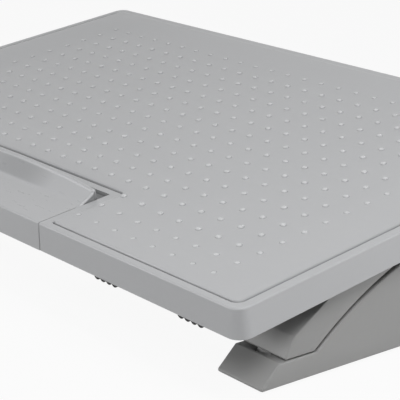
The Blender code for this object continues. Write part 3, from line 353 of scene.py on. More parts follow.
@dataclass(frozen=True)
class Metal:
    """Plated or drawn steel with fine streaks."""

    name: str
    pale: Colour
    deep: Colour
    roughness: float
    streak: Place = (1.0, 1.0, 1.0)
    patch_scale: float = 120.0
    streak_scale: float = 500.0
    streak_depth: float = 0.00002

    def surface(self, graph: Graph) -> Value:
        """Builds the shader.

        Args:
            graph: The material's graph.

        Returns:
            The shader.
        """
        place = graph.object_place()
        patch = graph.noise(place, self.patch_scale, 4.0)
        streaks = graph.noise(place, self.streak_scale, 3.0, self.streak)
        return graph.add("ShaderNodeBsdfPrincipled", {}, {
            "Base Color": graph.tint(patch * 0.6 + streaks * 0.4, self.deep, self.pale),
            "Metallic": 1.0,
            "Roughness": streaks * 0.16 + patch * 0.08 + (self.roughness - 0.12),
            "Normal": graph.bump(streaks, self.streak_depth),
        })


Finish = Moulding | Rubber | Metal

GREY_PALE, GREY_DEEP = (0.465, 0.470, 0.480), (0.435, 0.440, 0.450)
# Painted shade: the dark grey painted into the deck's groove, onto the notch's rear wall and across the
# pedal's curved rise.
GREY_PAINTED_SHADE = (0.15, 0.152, 0.157)
# Painted shadow: the grey painted on the pedal's ends, in the seam gap beside the deck.
SEAM_PAINTED_SHADOW = (0.23, 0.232, 0.236)

FINISHES: dict[Slot, Finish] = {
    Slot.GREY_PLASTIC: Moulding("grey_moulding", GREY_PALE, GREY_DEEP, 0.33),
    Slot.LEG_PLASTIC: Moulding("leg_moulding", (0.335, 0.335, 0.332), (0.305, 0.305, 0.303), 0.42),
    Slot.DARK_RUBBER: Rubber("dark_rubber_finish", (0.075, 0.075, 0.075), (0.045, 0.045, 0.045), 0.82),
    Slot.STEEL: Metal("zinc_plate", (0.62, 0.63, 0.64), (0.48, 0.49, 0.50), 0.36),
    Slot.SPRING_STEEL: Metal("drawn_wire", (0.48, 0.48, 0.49), (0.36, 0.36, 0.37), 0.32, (1.0, 0.1, 1.0)),
    Slot.BLACK_PLASTIC: Moulding("black_moulding", (0.060, 0.060, 0.062), (0.042, 0.042, 0.044), 0.58),
}

# The deck and the pedal are painted darker where shade falls: in the groove, on the notch's rear wall and on
# the pedal's rise.
DECK_FINISH = Moulding("deck_moulding", GREY_PALE, GREY_DEEP, 0.33, dust_and_shade=GREY_PAINTED_SHADE)
# The pedal's ends, past 83.05 mm across, carry the painted seam shadow.
PEDAL_FINISH = Moulding("pedal_moulding", GREY_PALE, GREY_DEEP, 0.27, dust_and_shade=GREY_PAINTED_SHADE, seam=0.08305)
# Painted highlight: the dots are painted lighter than the deck, though they are the same plastic. Their
# darker feet are painted shade.
DOT_PAINTED_LIGHT_FINISH = Moulding("dot_moulding_painted_light", (0.600, 0.605, 0.615), (0.560, 0.565, 0.575), 0.24,
                      dust_and_shade=(0.22, 0.225, 0.23))


class Wardrobe:
    """Makes each finish's material once and hands it out."""

    def __init__(self) -> None:
        """Starts with no material made."""
        self.made: dict[str, bpy.types.Material] = {}

    def get(self, finish: Finish) -> bpy.types.Material:
        """The material of a finish.

        Args:
            finish: The finish.

        Returns:
            The material.
        """
        if finish.name not in self.made:
            self.made[finish.name] = new_material(finish.name, finish.surface)
        return self.made[finish.name]


WARDROBE = Wardrobe()


# Outlines

def arc(centre: Point, radius: float, start: float, end: float, steps: int) -> list[Point]:
    """Points on an arc.

    Args:
        centre: The arc's centre.
        radius: Its radius.
        start: The first angle.
        end: The last angle.
        steps: How many chords.

    Returns:
        The points, both ends included.
    """
    angles = [start + (end - start) * i / steps for i in range(steps + 1)]
    return [(centre[0] + radius * math.cos(a), centre[1] + radius * math.sin(a)) for a in angles]


def rounded(corners: Sequence[Corner], steps: int = 10) -> list[Point]:
    """Replaces each corner of a closed outline by an arc.

    Args:
        corners: Corners as (a, b, radius).
        steps: Chords in each arc.

    Returns:
        The outline's points.
    """
    points: list[Point] = []
    for index, (a, b, radius) in enumerate(corners):
        here = Vector((a, b))
        back = (Vector(corners[index - 1][:2]) - here).normalized()
        ahead = (Vector(corners[(index + 1) % len(corners)][:2]) - here).normalized()
        half = back.angle(ahead) / 2
        reach = radius / math.tan(half)
        centre = here + (back + ahead).normalized() * (reach / math.cos(half))
        start, end = here + back * reach - centre, here + ahead * reach - centre
        turn = start.angle_signed(end)
        for i in range(steps + 1):
            spoke = start.copy()
            spoke.rotate(Matrix.Rotation(-turn * i / steps, 2))
            points.append((centre.x + spoke.x, centre.y + spoke.y))
    return points


def inset(corners: Sequence[Corner], distance: float) -> list[Corner]:
    """Moves every edge of an anticlockwise outline inwards.

    Args:
        corners: Corners as (a, b, radius).
        distance: How far, negative for outwards.

    Returns:
        The moved corners, with their radii fitted.
    """
    lines = []
    for index, corner in enumerate(corners):
        start = Vector(corner[:2])
        along = (Vector(corners[(index + 1) % len(corners)][:2]) - start).normalized()
        lines.append((start + Vector((-along.y, along.x)) * distance, along))
    moved: list[Corner] = []
    for index, corner in enumerate(corners):
        (p, d), (q, e) = lines[index - 1], lines[index]
        cross = d.cross(e)
        point = p + d * ((q - p).cross(e) / cross)
        radius = corner[2] - math.copysign(distance, cross * distance)
        moved.append((point.x, point.y, max(radius, LEAST_RADIUS)))
    return moved


def offset_path(path: Sequence[Point], distance: float) -> list[Point]:
    """Moves an open path to its right-hand side.

    Args:
        path: The points.
        distance: How far each point moves along its own normal.

    Returns:
        The moved points.
    """
    moved: list[Point] = []
    for index, point in enumerate(path):
        before = Vector(path[max(index - 1, 0)])
        after = Vector(path[min(index + 1, len(path) - 1)])
        along = (after - before).normalized()
        moved.append((point[0] + along.y * distance, point[1] - along.x * distance))
    return moved


# Meshes

def finished(bm: bmesh.types.BMesh, name: str, outward: bool = True) -> bpy.types.Mesh:
    """Welds a bmesh and shades it smooth up to an angle.

    Args:
        bm: The bmesh, freed here.
        name: The mesh's name.
        outward: Whether the normals are worked out again.

    Returns:
        The mesh.
    """
    bmesh.ops.remove_doubles(bm, verts=bm.verts, dist=WELD)
    bmesh.ops.dissolve_degenerate(bm, edges=bm.edges, dist=WELD)
    if outward:
        bmesh.ops.recalc_face_normals(bm, faces=bm.faces)
    mesh = bpy.data.meshes.new(name)
    bm.to_mesh(mesh)
    bm.free()
    mesh.shade_smooth()
    mesh.set_sharp_from_angle(angle=SMOOTH_ANGLE)
    return mesh


def bridge(bm: bmesh.types.BMesh, rings: Sequence[Sequence[bmesh.types.BMVert]]) -> None:
    """Joins each closed ring of vertices to the next with quads.

    Args:
        bm: The bmesh.
        rings: Rings of equal length.
    """
    for ring, following in zip(rings, rings[1:]):
        for j in range(len(ring)):
            bm.faces.new((ring[j - 1], ring[j], following[j], following[j - 1]))


def box_mesh(low: Place, high: Place) -> bpy.types.Mesh:
    """A box between two corners, used only as a cutter.

    Args:
        low: Its lowest corner.
        high: Its highest corner.

    Returns:
        The mesh.
    """
    a, b = Vector(low), Vector(high)
    size = b - a
    bm = bmesh.new()
    place = Matrix.Translation((a + b) / 2) @ Matrix.Diagonal((size.x, size.y, size.z, 1.0))
    bmesh.ops.create_cube(bm, size=1.0, matrix=place)
    return finished(bm, "cutter")


def boolean(mesh: bpy.types.Mesh, tool: bpy.types.Mesh, operation: str) -> bpy.types.Mesh:
    """Applies an exact Boolean to a plain mesh.

    Args:
        mesh: The mesh to change.
        tool: The other mesh.
        operation: DIFFERENCE or INTERSECT.

    Returns:
        The result as a new mesh.
    """
    target = bpy.data.objects.new("target", mesh)
    cutter = bpy.data.objects.new("cutter", tool)
    for obj in (target, cutter):
        bpy.context.scene.collection.objects.link(obj)
    modifier = target.modifiers.new("cut", "BOOLEAN")
    modifier.operation = operation
    modifier.solver = "EXACT"
    modifier.object = cutter
    evaluated = target.evaluated_get(bpy.context.evaluated_depsgraph_get())
    result = bpy.data.meshes.new_from_object(evaluated)
    for obj in (target, cutter):
        bpy.data.objects.remove(obj)
    result.materials.clear()
    result.shade_smooth()
    result.set_sharp_from_angle(angle=SMOOTH_ANGLE)
    return result


def merged_copy(node: str) -> bpy.types.Mesh:
    """A welded, smooth-shaded copy of a CAD node's mesh.

    Args:
        node: The node's name.

    Returns:
        The mesh, in the frame's place.
    """
    bm = bmesh.new()
    bm.from_mesh(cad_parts[node].data)
    bmesh.ops.remove_doubles(bm, verts=bm.verts, dist=2 * WELD)
    bmesh.ops.dissolve_limit(bm, angle_limit=FLAT_ANGLE, verts=bm.verts, edges=bm.edges)
    bmesh.ops.triangulate(bm, faces=bm.faces)
    return finished(bm, node, outward=False)


def add_piece(name: str, mesh: bpy.types.Mesh, slot: Slot, body: Body, stands_for: Sequence[str] = (),
              finish: Finish | None = None) -> None:
    """Adds a visible piece.

    Args:
        name: The piece's name.
        mesh: Its mesh, already in place.
        slot: Its material slot.
        body: The body that it rides on.
        stands_for: The CAD nodes that it replaces.
        finish: Its finish where that isn't the slot's own.
    """
    mesh.name = name
    mesh.materials.clear()
    mesh.materials.append(WARDROBE.get(finish or FINISHES[slot]))
    obj = bpy.data.objects.new(name, mesh)
    bpy.context.scene.collection.objects.link(obj)
    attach(obj, body.value)
    if stands_for:
        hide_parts(*stands_for)
    log.info("%s: %d faces on %s", name, len(mesh.polygons), body.value)


def smoothstep(share: float) -> float:
    """Eases a share that is held between 0 and 1."""
    held = min(max(share, 0.0), 1.0)
    return held * held * (3 - 2 * held)


# Deck

@dataclass
class Deck:
    """The dotted deck: walls, border, a groove round a field that dips to its middle, ribs underneath."""

    half_width: float = 0.2784
    half_depth: float = 0.1796
    corner: float = 0.0105
    corner_chords: int = 10
    draft: float = 0.0018
    wall_height: float = 0.0196
    wall: float = 0.0025
    edge: float = 0.00145
    corner_edge: float = 0.0016
    edge_chords: int = 9
    edge_run: float = 1.25
    foot_edge: float = 0.0003
    ceiling: float = 0.0034
    field_side_border: float = 0.0088
    field_end_border: float = 0.0081
    field_corner: float = 0.0055
    field_notch_corner: float = 0.0032
    field_chords: int = 8
    field_inset: float = 0.0044
    field_step: float = 0.0005
    dish: float = 0.0026
    dish_reach: float = 0.055
    groove: tuple[Point, ...] = (
        (-0.0012, 0.0), (-0.0009, -0.0002), (-0.0007, -0.0010), (-0.0005, -0.0016), (-0.0001, -0.0018),
        (0.0003, -0.0017), (0.0006, -0.0012), (0.0009, -0.0005),
    )
    groove_reach: float = 0.0048
    groove_clear: float = 0.0045
    groove_early: float = 0.001
    groove_depth: float = 0.0018
    field_rise: tuple[Point, ...] = ((0.0013, 0.2), (0.0019, 0.6), (0.0027, 0.88), (0.0038, 1.0))
    notch_half: float = 0.0842
    notch_rear: float = -0.1189
    notch_side_border: float = 0.0059
    notch_rear_border: float = 0.0066
    grid: float = 0.008
    dot_pitch: float = 0.01905
    dot_shift: float = 0.00035
    dot_row_shift: float = 5.92
    dot_columns: tuple[int, int] = (-12, 12)
    dot_rows: tuple[int, int] = (-15, 1)
    dot_radius: float = 0.0027
    dot_height: float = 0.0025
    dot_sunk: float = 0.0011
    dot_margin: float = 0.004
    dot_bare: float = 0.009
    dot_fade: float = 0.05
    dot_least_width: float = 0.8
    dot_least_height: float = 0.03

    @property
    def side(self) -> float:
        """How far the field reaches to each side."""
        return self.half_width - self.field_side_border

    @property
    def end(self) -> float:
        """How far the field reaches to the front and to the rear."""
        return self.half_depth - self.field_end_border

    @property
    def beside_notch(self) -> float:
        """Where the field begins beside the notch."""
        return self.notch_half + self.notch_side_border

    @property
    def behind_notch(self) -> float:
        """Where the field begins behind the notch."""
        return self.notch_rear + self.notch_rear_border

    def lean(self, w: float) -> float:
        """How far the walls lean in at a height."""
        return self.draft * (1 + w / self.wall_height)

    def outer_ring(self, offset: float) -> list[Point]:
        """The deck's outline moved inwards.

        Args:
            offset: How far in.

        Returns:
            The outline's points.
        """
        a, b = self.half_width, self.half_depth
        corners = [(-a, -b, self.corner), (a, -b, self.corner), (a, b, self.corner), (-a, b, self.corner)]
        return rounded(inset(corners, offset) if offset else corners, self.corner_chords)

    def field_ring(self, offset: float) -> list[Point]:
        """The field's outline, round the notch, moved inwards.

        Args:
            offset: How far in.

        Returns:
            The outline's points, anticlockwise.
        """
        side, end, notch, rear = self.side, self.end, self.beside_notch, self.behind_notch
        small, large = self.field_notch_corner, self.field_corner
        corners = [(notch, -end, small), (side, -end, large), (side, end, large), (-side, end, large),
                   (-side, -end, large), (-notch, -end, small), (-notch, rear, small), (notch, rear, small)]
        return rounded(inset(corners, offset), self.field_chords)

    def height(self, u: float, v: float) -> float:
        """The field's height: highest at its edges, dished in the middle.

        Args:
            u: Across.
            v: Towards the rear.

        Returns:
            w at that place.
        """
        away = math.hypot(max(abs(u) - self.beside_notch, 0.0), max(v - self.behind_notch, 0.0))
        rooms = (self.side - abs(u), self.end - abs(v), away)
        return self.field_step - self.dish * math.prod(smoothstep(room / self.dish_reach) for room in rooms)

    def rim_rings(self, bm: bmesh.types.BMesh) -> list[list[bmesh.types.BMVert]]:
        """The rings of the rim's rounding, which swells at the corners.

        Args:
            bm: The bmesh to add to.

        Returns:
            The rings, from the wall to the top.
        """
        near, far = (self.outer_ring(self.lean(-self.edge) + offset) for offset in (0.0, self.edge))
        turns = [math.pi / 2 * i / self.edge_chords for i in range(self.edge_chords + 1)]
        rings = []
        for across, down in [(1 - math.cos(a), math.sin(a) - 1) for a in turns] + [(self.edge_run, 0.0)]:
            ring = []
            for index, (here, there) in enumerate(zip(near, far)):
                share = index % (self.corner_chords + 1) / self.corner_chords
                swell = 1 + (self.corner_edge / self.edge - 1) * math.sin(math.pi * share) ** 2
                a, b = (p + (q - p) * across * swell for p, q in zip(here, there))
                ring.append(bm.verts.new((a, b, down * swell * self.edge)))
            rings.append(ring)
        return rings

    def has_groove(self, a: float, b: float) -> bool:
        """Whether the field's edge has its groove here: not beside the notch, nor at the rear.

        Args:
            a: Across.
            b: Towards the rear.

        Returns:
            True where the groove runs.
        """
        by_notch = abs(abs(a) - self.beside_notch) < self.groove_reach
        between = -self.end - self.groove[0][0] < b < self.behind_notch - self.groove_early
        return not (by_notch and between or b > self.end - self.groove_clear)

    def shell_mesh(self) -> bpy.types.Mesh:
        """The deck's outside with its underside closed, in the deck's frame.

        Returns:
            The mesh, with the notch cut out.
        """
        bm = bmesh.new()

        def ring(points: Sequence[Point], w: float) -> list[bmesh.types.BMVert]:
            """Adds one ring of vertices at a height."""
            return [bm.verts.new((a, b, w)) for a, b in points]

        levels = [-self.wall_height + self.foot_edge, -0.9 * self.wall_height, -0.5 * self.wall_height]
        profile = [(self.foot_edge, -self.wall_height)] + [(self.lean(w), w) for w in levels]
        rings = [ring(self.outer_ring(offset), w) for offset, w in profile] + self.rim_rings(bm)
        inner = [ring(self.outer_ring(self.wall), w) for w in (-self.wall_height, -self.ceiling)]
        bridge(bm, inner[::-1] + rings)
        bm.faces.new(inner[1])

        field_rings = []
        for distance, w in self.groove + tuple((d, self.field_step * share) for d, share in self.field_rise):
            field_rings.append([bm.verts.new((a, b, w if self.has_groove(a, b) else max(w, 0.0)))
                                for a, b in self.field_ring(distance)])
        inside = self.field_ring(self.field_inset)
        field_rings.append([bm.verts.new((a, b, self.height(a, b))) for a, b in inside])
        bridge(bm, field_rings)
        hole, outside = field_rings[0], rings[-1]
        loops = [[vert.co.copy() for vert in outside], [vert.co.copy() for vert in hole]]
        both = outside + hole
        for triangle in tessellate_polygon(loops):
            bm.faces.new([both[i] for i in triangle])
        self.fill_field(bm, inside)
        mesh = finished(bm, "deck_shell")
        ahead, tall = 0.25, 0.06
        way = box_mesh((-self.notch_half, -ahead, -tall), (self.notch_half, self.notch_rear, tall))
        return boolean(mesh, way, "DIFFERENCE")

    def fill_field(self, bm: bmesh.types.BMesh, loop: Sequence[Point]) -> None:
        """Fills the field with triangles on a grid.

        Args:
            bm: The bmesh to add to.
            loop: The field's inner outline.
        """
        count = len(loop)
        points = [Vector(point) for point in loop]
        margin = 0.4 * self.grid
        across, along = int(2 * self.side / self.grid), int(2 * self.end / self.grid)
        for i in range(across + 1):
            for j in range(along + 1):
                u = (i - across / 2) * self.grid
                v = (j - along / 2) * self.grid
                clear = abs(u) < self.side - margin and abs(v) < self.end - margin
                if clear and (abs(u) > self.beside_notch + margin or v > self.behind_notch + margin):
                    points.append(Vector((u, v)))
        edges = [(i, (i + 1) % count) for i in range(count)]
        verts, _, faces, _, _, _ = delaunay_2d_cdt(points, edges, [], 1, 1e-7)
        made = [bm.verts.new((p.x, p.y, self.height(p.x, p.y))) for p in verts]
        for face in faces:
            bm.faces.new([made[i] for i in face])

    def core_mesh(self) -> bpy.types.Mesh:
        """The ribs, bosses, saddles and notch walls under the shell.

        Returns:
            The mesh, in the deck's frame.
        """
        mesh = merged_copy("deck")
        mesh.transform(DECK_PLACE.inverted())
        inside = 0.002
        low = (-self.half_width + inside, -self.half_depth + inside, -self.wall_height + 2 * HAIR)
        high = (self.half_width - inside, self.half_depth - inside, -self.ceiling + 4 * HAIR)
        return boolean(mesh, box_mesh(low, high), "INTERSECT")

    def unshaded_share(self, place: Vector) -> float:
        """How much shade is painted on the shell: the groove is painted darker the deeper it goes, and the
        notch's rear wall below its rim darkest.

        Args:
            place: A place on the shell, in the deck's frame.

        Returns:
            1 where no shade is painted, less where it is.
        """
        u, v, w = abs(place.x), place.y, place.z
        near, past, slack, rim, round_notch = 0.0025, 0.0015, 0.0002, 0.001, 0.1
        # Painted shade: the notch's rear wall below its rim is painted at full shade.
        if abs(v - self.notch_rear) < slack and u < self.notch_half + slack and w < -rim:
            return FULL_SHADE
        off = min(abs(u - self.side), abs(abs(v) - self.end))
        if u < round_notch:
            off = min(off, abs(v - self.behind_notch))
        # Painted shade in the groove: the deeper the groove, the darker it is painted.
        in_groove = off < near and u < self.side + past and abs(v) < self.end + past and -near < w < 0.0
        return 0.85 + 0.55 * w / self.groove_depth if in_groove else 1.0

    def dot_places(self) -> list[tuple[Point, float]]:
        """Where the dots stand and how tall each is: they fade out towards the deck's edges.

        Returns:
            Pairs of a place and a share of the full height.
        """
        places = []
        for i in range(self.dot_columns[0], self.dot_columns[1] + 1):
            for j in range(self.dot_rows[0], self.dot_rows[1] + 1):
                u = i * self.dot_pitch
                v = (j + self.dot_row_shift) * self.dot_pitch + self.dot_shift
                room = min(self.side - abs(u), self.end - abs(v))
                over_notch = (abs(u) < self.beside_notch + self.dot_margin
                              and v < self.behind_notch + self.dot_margin)
                if room >= self.dot_margin and not over_notch:
                    places.append(((u, v), smoothstep((room - self.dot_bare) / self.dot_fade)))
        return places

    def dots_mesh(self) -> bpy.types.Mesh:
        """The dots, made with geometry nodes on a grid of points.

        Returns:
            The mesh, in the deck's frame.
        """
        places = self.dot_places()
        base = bpy.data.meshes.new("dot_points")
        base.from_pydata([(u, v, self.height(u, v) - self.dot_sunk * share) for (u, v), share in places],
                         [], [])
        scales = []
        for _, share in places:
            width = self.dot_least_width + (1 - self.dot_least_width) * share
            scales += [width, width, max(share, self.dot_least_height)]
        base.attributes.new(DOT_SCALE, "FLOAT_VECTOR", "POINT").data.foreach_set("vector", scales)
        obj = bpy.data.objects.new("dot_points", base)
        bpy.context.scene.collection.objects.link(obj)
        tree, sizes = dot_tree(WARDROBE.get(DOT_PAINTED_LIGHT_FINISH))
        modifier = obj.modifiers.new("dots", "NODES")
        modifier.node_group = tree
        modifier[sizes["Dot Radius"]] = self.dot_radius
        modifier[sizes["Dot Height"]] = self.dot_height
        evaluated = obj.evaluated_get(bpy.context.evaluated_depsgraph_get())
        mesh = bpy.data.meshes.new_from_object(evaluated)
        bpy.data.objects.remove(obj)
        mesh.shade_smooth()
        return mesh

    def build(self) -> None:
        """Adds the deck's pieces."""
        shell = self.shell_mesh()
        # Painted shade on the shell, stored per vertex for the deck's material.
        marks = [self.unshaded_share(vert.co) for vert in shell.vertices]
        shell.attributes.new(UNSHADED, "FLOAT", "POINT").data.foreach_set("value", marks)
        for name, mesh, nodes, finish in (("deck_shell", shell, ["deck"], DECK_FINISH),
                                          ("deck_ribs", self.core_mesh(), [], None),
                                          ("tread_dots", self.dots_mesh(), [], DOT_PAINTED_LIGHT_FINISH)):
            mesh.transform(DECK_PLACE)
            add_piece(name, mesh, Slot.GREY_PLASTIC, Body.DECK, nodes, finish)


def dot_tree(finish: bpy.types.Material) -> tuple[bpy.types.NodeTree, dict[str, str]]:
    """The node tree that sets a low dome on each point.

    Args:
        finish: The dots' material.

    Returns:
        The tree, and the identifiers of its size inputs.
    """
    tree = bpy.data.node_groups.new("tread_dots", "GeometryNodeTree")
    face = tree.interface
    face.new_socket("Geometry", in_out="INPUT", socket_type="NodeSocketGeometry")
    sizes = {name: face.new_socket(name, in_out="INPUT", socket_type="NodeSocketFloat").identifier
             for name in ("Dot Radius", "Dot Height")}
    face.new_socket("Geometry", in_out="OUTPUT", socket_type="NodeSocketGeometry")

    graph = Graph(tree)
    base, radius, height = (graph.add("NodeGroupInput", {}, {}, name) for name in ("Geometry", *sizes))
    ball = graph.add("GeometryNodeMeshUVSphere", {}, {"Segments": 16, "Rings": 8, "Radius": 1.0})
    place = graph.add("GeometryNodeInputPosition", {}, {})
    x, y, z = (graph.add("ShaderNodeSeparateXYZ", {}, {0: place}, axis) for axis in "XYZ")
    # Painted shade: each dome keeps its height as the point attribute, so its lower slopes and foot are
    # painted darker.
    marked = graph.add("GeometryNodeStoreNamedAttribute", {"data_type": "FLOAT", "domain": "POINT"},
                       {"Geometry": ball, "Name": UNSHADED, "Value": z})
    above = graph.add("ShaderNodeCombineXYZ", {}, {"X": x, "Y": y, "Z": z.at_least(0.0)})
    half_ball = graph.add("GeometryNodeSetPosition", {}, {"Geometry": marked, "Position": above})
    size = graph.add("ShaderNodeCombineXYZ", {}, {"X": radius, "Y": radius, "Z": height})
    dome = graph.add("GeometryNodeTransform", {}, {"Geometry": half_ball, "Scale": size})
    scale = graph.add("GeometryNodeInputNamedAttribute", {"data_type": "FLOAT_VECTOR"}, {"Name": DOT_SCALE},
                      "Attribute")
    points = graph.add("GeometryNodeMeshToPoints", {}, {"Mesh": base})
    spread = graph.add("GeometryNodeInstanceOnPoints", {},
                       {"Points": points, "Instance": dome, "Scale": scale})
    real = graph.add("GeometryNodeRealizeInstances", {}, {"Geometry": spread})
    dressed = graph.add("GeometryNodeSetMaterial", {}, {"Geometry": real, "Material": finish})
    end = tree.nodes.new("NodeGroupOutput")
    tree.links.new(dressed.socket, end.inputs["Geometry"])
    return tree, sizes


# Pedal

@dataclass
class Pedal:
    """The pedal in the deck's notch: a flat front, a curved rise and a crowned ridge."""

    half: float = 0.0833
    front: float = -0.1796
    draft: float = 0.0018
    flat: float = 0.0355
    rise: float = 0.0123
    ridge: float = 0.0116
    ridge_end: float = 0.0069
    back: float = 0.0032
    skirt: float = 0.008
    wall: float = 0.0026
    edge: float = 0.00145
    curve: float = 1.3
    foot: float = 0.0196
    end_edge: float = 0.0003
    rise_edge: float = 0.0013
    end_profile: tuple[Place, ...] = ((0.0, 1.0, 1.0), (0.25, 0.7, 0.3), (0.7, 0.25, 0.0), (1.0, 0.0, 0.0))
    columns: int = 36
    rise_chords: int = 16
    level: float = 0.004
    crank_reach: float = 0.0152
    # Painted shade on the curved rise: its strength, and where it fades out across.
    scuff_and_shade: float = 0.4
    shade_middle: float = 0.008
    shade_fade: float = 0.072

    @property
    def crease(self) -> float:
        """Where the flat ends and the rise begins."""
        return self.front + self.flat

    def ridge_at(self, u: float) -> float:
        """The ridge's height at a place across."""
        return self.ridge - (self.ridge - self.ridge_end) * (u / self.half) ** 2

    def outside(self, u: float) -> list[Point]:
        """The outer section at a place across, from the front foot to the rear skirt.

        Args:
            u: Across.

        Returns:
            The points as (v, w).
        """
        ridge, crease = self.ridge_at(u), self.crease
        lip = self.back / 2
        tall = ridge - lip
        points = [(self.front, -self.foot)]
        points += arc((self.front + self.draft + self.edge, -self.edge), self.edge, math.pi, math.pi / 2, 6)
        points.append((self.front + self.draft + 2 * self.edge, 0.0))
        points.append((crease - self.level, 0.0))
        points += [(crease + self.rise * i / self.rise_chords, tall * (i / self.rise_chords) ** self.curve)
                   for i in range(self.rise_chords)]
        points += arc((crease + self.rise + lip, ridge - lip), lip, math.pi, 0.0, 10)
        points.append((crease + self.rise + self.back, -self.skirt))
        return points

    def inside(self, u: float) -> list[Point]:
        """The inner section at a place across, from the rear skirt to the front foot.

        Args:
            u: Across.

        Returns:
            The points as (v, w).
        """
        tall = self.ridge_at(u) - self.back / 2
        points = [(self.crease + self.rise + self.back - self.wall, -self.skirt)]
        chords = 12
        for i in range(chords, -1, -1):
            share = i / chords
            slope = self.curve * tall / self.rise * share ** (self.curve - 1)
            drop = self.wall * math.hypot(1, slope)
            points.append((self.crease + self.rise * share, tall * share ** self.curve - drop))
        points += [(self.front + self.draft + self.wall, -self.wall), (self.front + self.wall, -self.foot)]
        return points

    def skin_mesh(self) -> bpy.types.Mesh:
        """The skin as a closed loft with rounded ends.

        Returns:
            The mesh, in the deck's frame.
        """
        bm = bmesh.new()
        rings = []
        ends = [(self.half - share * self.rise_edge, rise * self.rise_edge, flat * self.end_edge)
                for share, rise, flat in self.end_profile]
        inner = self.half - 1.5 * self.rise_edge
        middle = [(inner * (2 * i / self.columns - 1), 0.0, 0.0) for i in range(self.columns + 1)]
        stations = [(-u, d, e) for u, d, e in ends] + middle + ends[::-1]
        for u, on_rise, on_flat in stations:
            outside = self.outside(u)
            shell = []
            for old, step in zip(outside, offset_path(outside, 1.0)):
                away = on_flat + (on_rise - on_flat) * smoothstep((old[0] - self.crease + 0.002) / 0.003)
                shell.append((old[0] + (step[0] - old[0]) * away, old[1] + (step[1] - old[1]) * away))
            shell[0] = (shell[0][0], outside[0][1])
            shell[-1] = (shell[-1][0], outside[-1][1])
            rings.append([bm.verts.new((u, v, w)) for v, w in shell + self.inside(u)])
        bridge(bm, rings)
        for ring in (rings[0], rings[-1]):
            bm.faces.new(ring)
        return finished(bm, "pedal_skin")

    def end_mesh(self, side: int) -> bpy.types.Mesh:
        """The wall that closes one end, just inside the skin.

        Args:
            side: 1 for the right end, -1 for the left.

        Returns:
            The mesh, in the deck's frame.
        """
        outline = offset_path(self.outside(self.half), 2 * HAIR + self.rise_edge)
        outline.append((self.front + self.crank_reach, -self.foot + 2 * HAIR))
        outline[0] = (outline[0][0], -self.foot + 2 * HAIR)
        outer = side * (self.half - HAIR)
        shrunk = side * (self.half - self.wall)
        bm = bmesh.new()
        rings = [[bm.verts.new((u, v, w)) for v, w in outline] for u in (outer, shrunk)]
        bridge(bm, rings)
        for ring in rings:
            bm.faces.new(ring)
        return finished(bm, "pedal_end")

    def core_mesh(self) -> bpy.types.Mesh:
        """The crank and pin holes below the skin.

        Returns:
            The mesh, in the deck's frame.
        """
        mesh = merged_copy("pedal")
        mesh.transform(DECK_PLACE.inverted())
        inside, deep = 0.0021, 0.04
        low = (-self.half + inside, self.front + inside, -deep)
        high = (self.half - inside, self.crease, -inside)
        return boolean(mesh, box_mesh(low, high), "INTERSECT")

    def rise_shade(self, u: float, v: float) -> float:
        """How much shade is painted on the rise: most in its middle, none at its ends.

        Args:
            u: Across.
            v: Towards the rear.

        Returns:
            A share between 0 and 1.
        """
        start, stop = self.crease - 0.001, self.crease + self.rise - 0.001
        on_rise = smoothstep((v - start) / 0.004) * (1 - smoothstep((v - stop) / 0.002))
        return on_rise * (1 - smoothstep((abs(u) - self.shade_middle) / self.shade_fade))

    def build(self) -> None:
        """Adds the pedal's pieces."""
        bm = bmesh.new()
        for mesh in (self.skin_mesh(), self.end_mesh(-1), self.end_mesh(1), self.core_mesh()):
            bm.from_mesh(mesh)
        mesh = bpy.data.meshes.new("pedal_shell")
        bm.to_mesh(mesh)
        bm.free()
        # Painted shade: the curved rise is painted darker, most in its middle.
        marks = [1 - self.scuff_and_shade * self.rise_shade(vert.co.x, vert.co.y) for vert in mesh.vertices]
        mesh.attributes.new(UNSHADED, "FLOAT", "POINT").data.foreach_set("value", marks)
        mesh.transform(DECK_PLACE)
        mesh.shade_smooth()
        mesh.set_sharp_from_angle(angle=SMOOTH_ANGLE)
        add_piece("pedal_shell", mesh, Slot.GREY_PLASTIC, Body.PEDAL, ["pedal"], PEDAL_FINISH)


# The other parts

@dataclass(frozen=True)
class Family:
    """CAD nodes of one finish that keep their CAD shape, smoothly shaded."""

    nodes: tuple[str, ...]
    slot: Slot
    body: Body

    def build(self) -> None:
        """Adds a dressed copy of each node."""
        for node in self.nodes:
            add_piece(f"{node}_dressed", merged_copy(node), self.slot, self.body, [node])


def sided(*names: str) -> tuple[str, ...]:
    """Names with a left and a right in the place of the braces.

    Args:
        names: Names that hold {}.

    Returns:
        Both names of each.
    """
    return tuple(name.format(side) for name in names for side in ("left", "right"))


class Group:
    """CAD nodes that are dressed family by family."""

    families: tuple[Family, ...] = ()

    def build(self) -> None:
        """Adds all of them."""
        for family in self.families:
            family.build()


class Carried(Group):
    """What rides on the deck besides the deck itself."""

    families = (
        Family(sided("deck_arm_{}"), Slot.LEG_PLASTIC, Body.DECK),
        Family(sided("front_bumper_{}_inner", "front_bumper_{}_outer"), Slot.DARK_RUBBER, Body.DECK),
        Family(sided("shaft_cap_{}"), Slot.BLACK_PLASTIC, Body.DECK),
        Family(sided("arm_screw_{}_1", "arm_screw_{}_2", "cap_screw_{}_1", "cap_screw_{}_2", "pedal_pin_{}"),
               Slot.STEEL, Body.DECK),
        Family(("return_spring",), Slot.SPRING_STEEL, Body.DECK),
        Family(("pull_link", "link_pin_front", "link_pin_rear"), Slot.STEEL, Body.LINK),
        Family(("brake_shaft", *sided("brake_arm_{}")), Slot.STEEL, Body.BRAKE),
        Family(("release_lever",), Slot.BLACK_PLASTIC, Body.BRAKE),
        Family(sided("brake_pad_{}"), Slot.DARK_RUBBER, Body.BRAKE),
    )


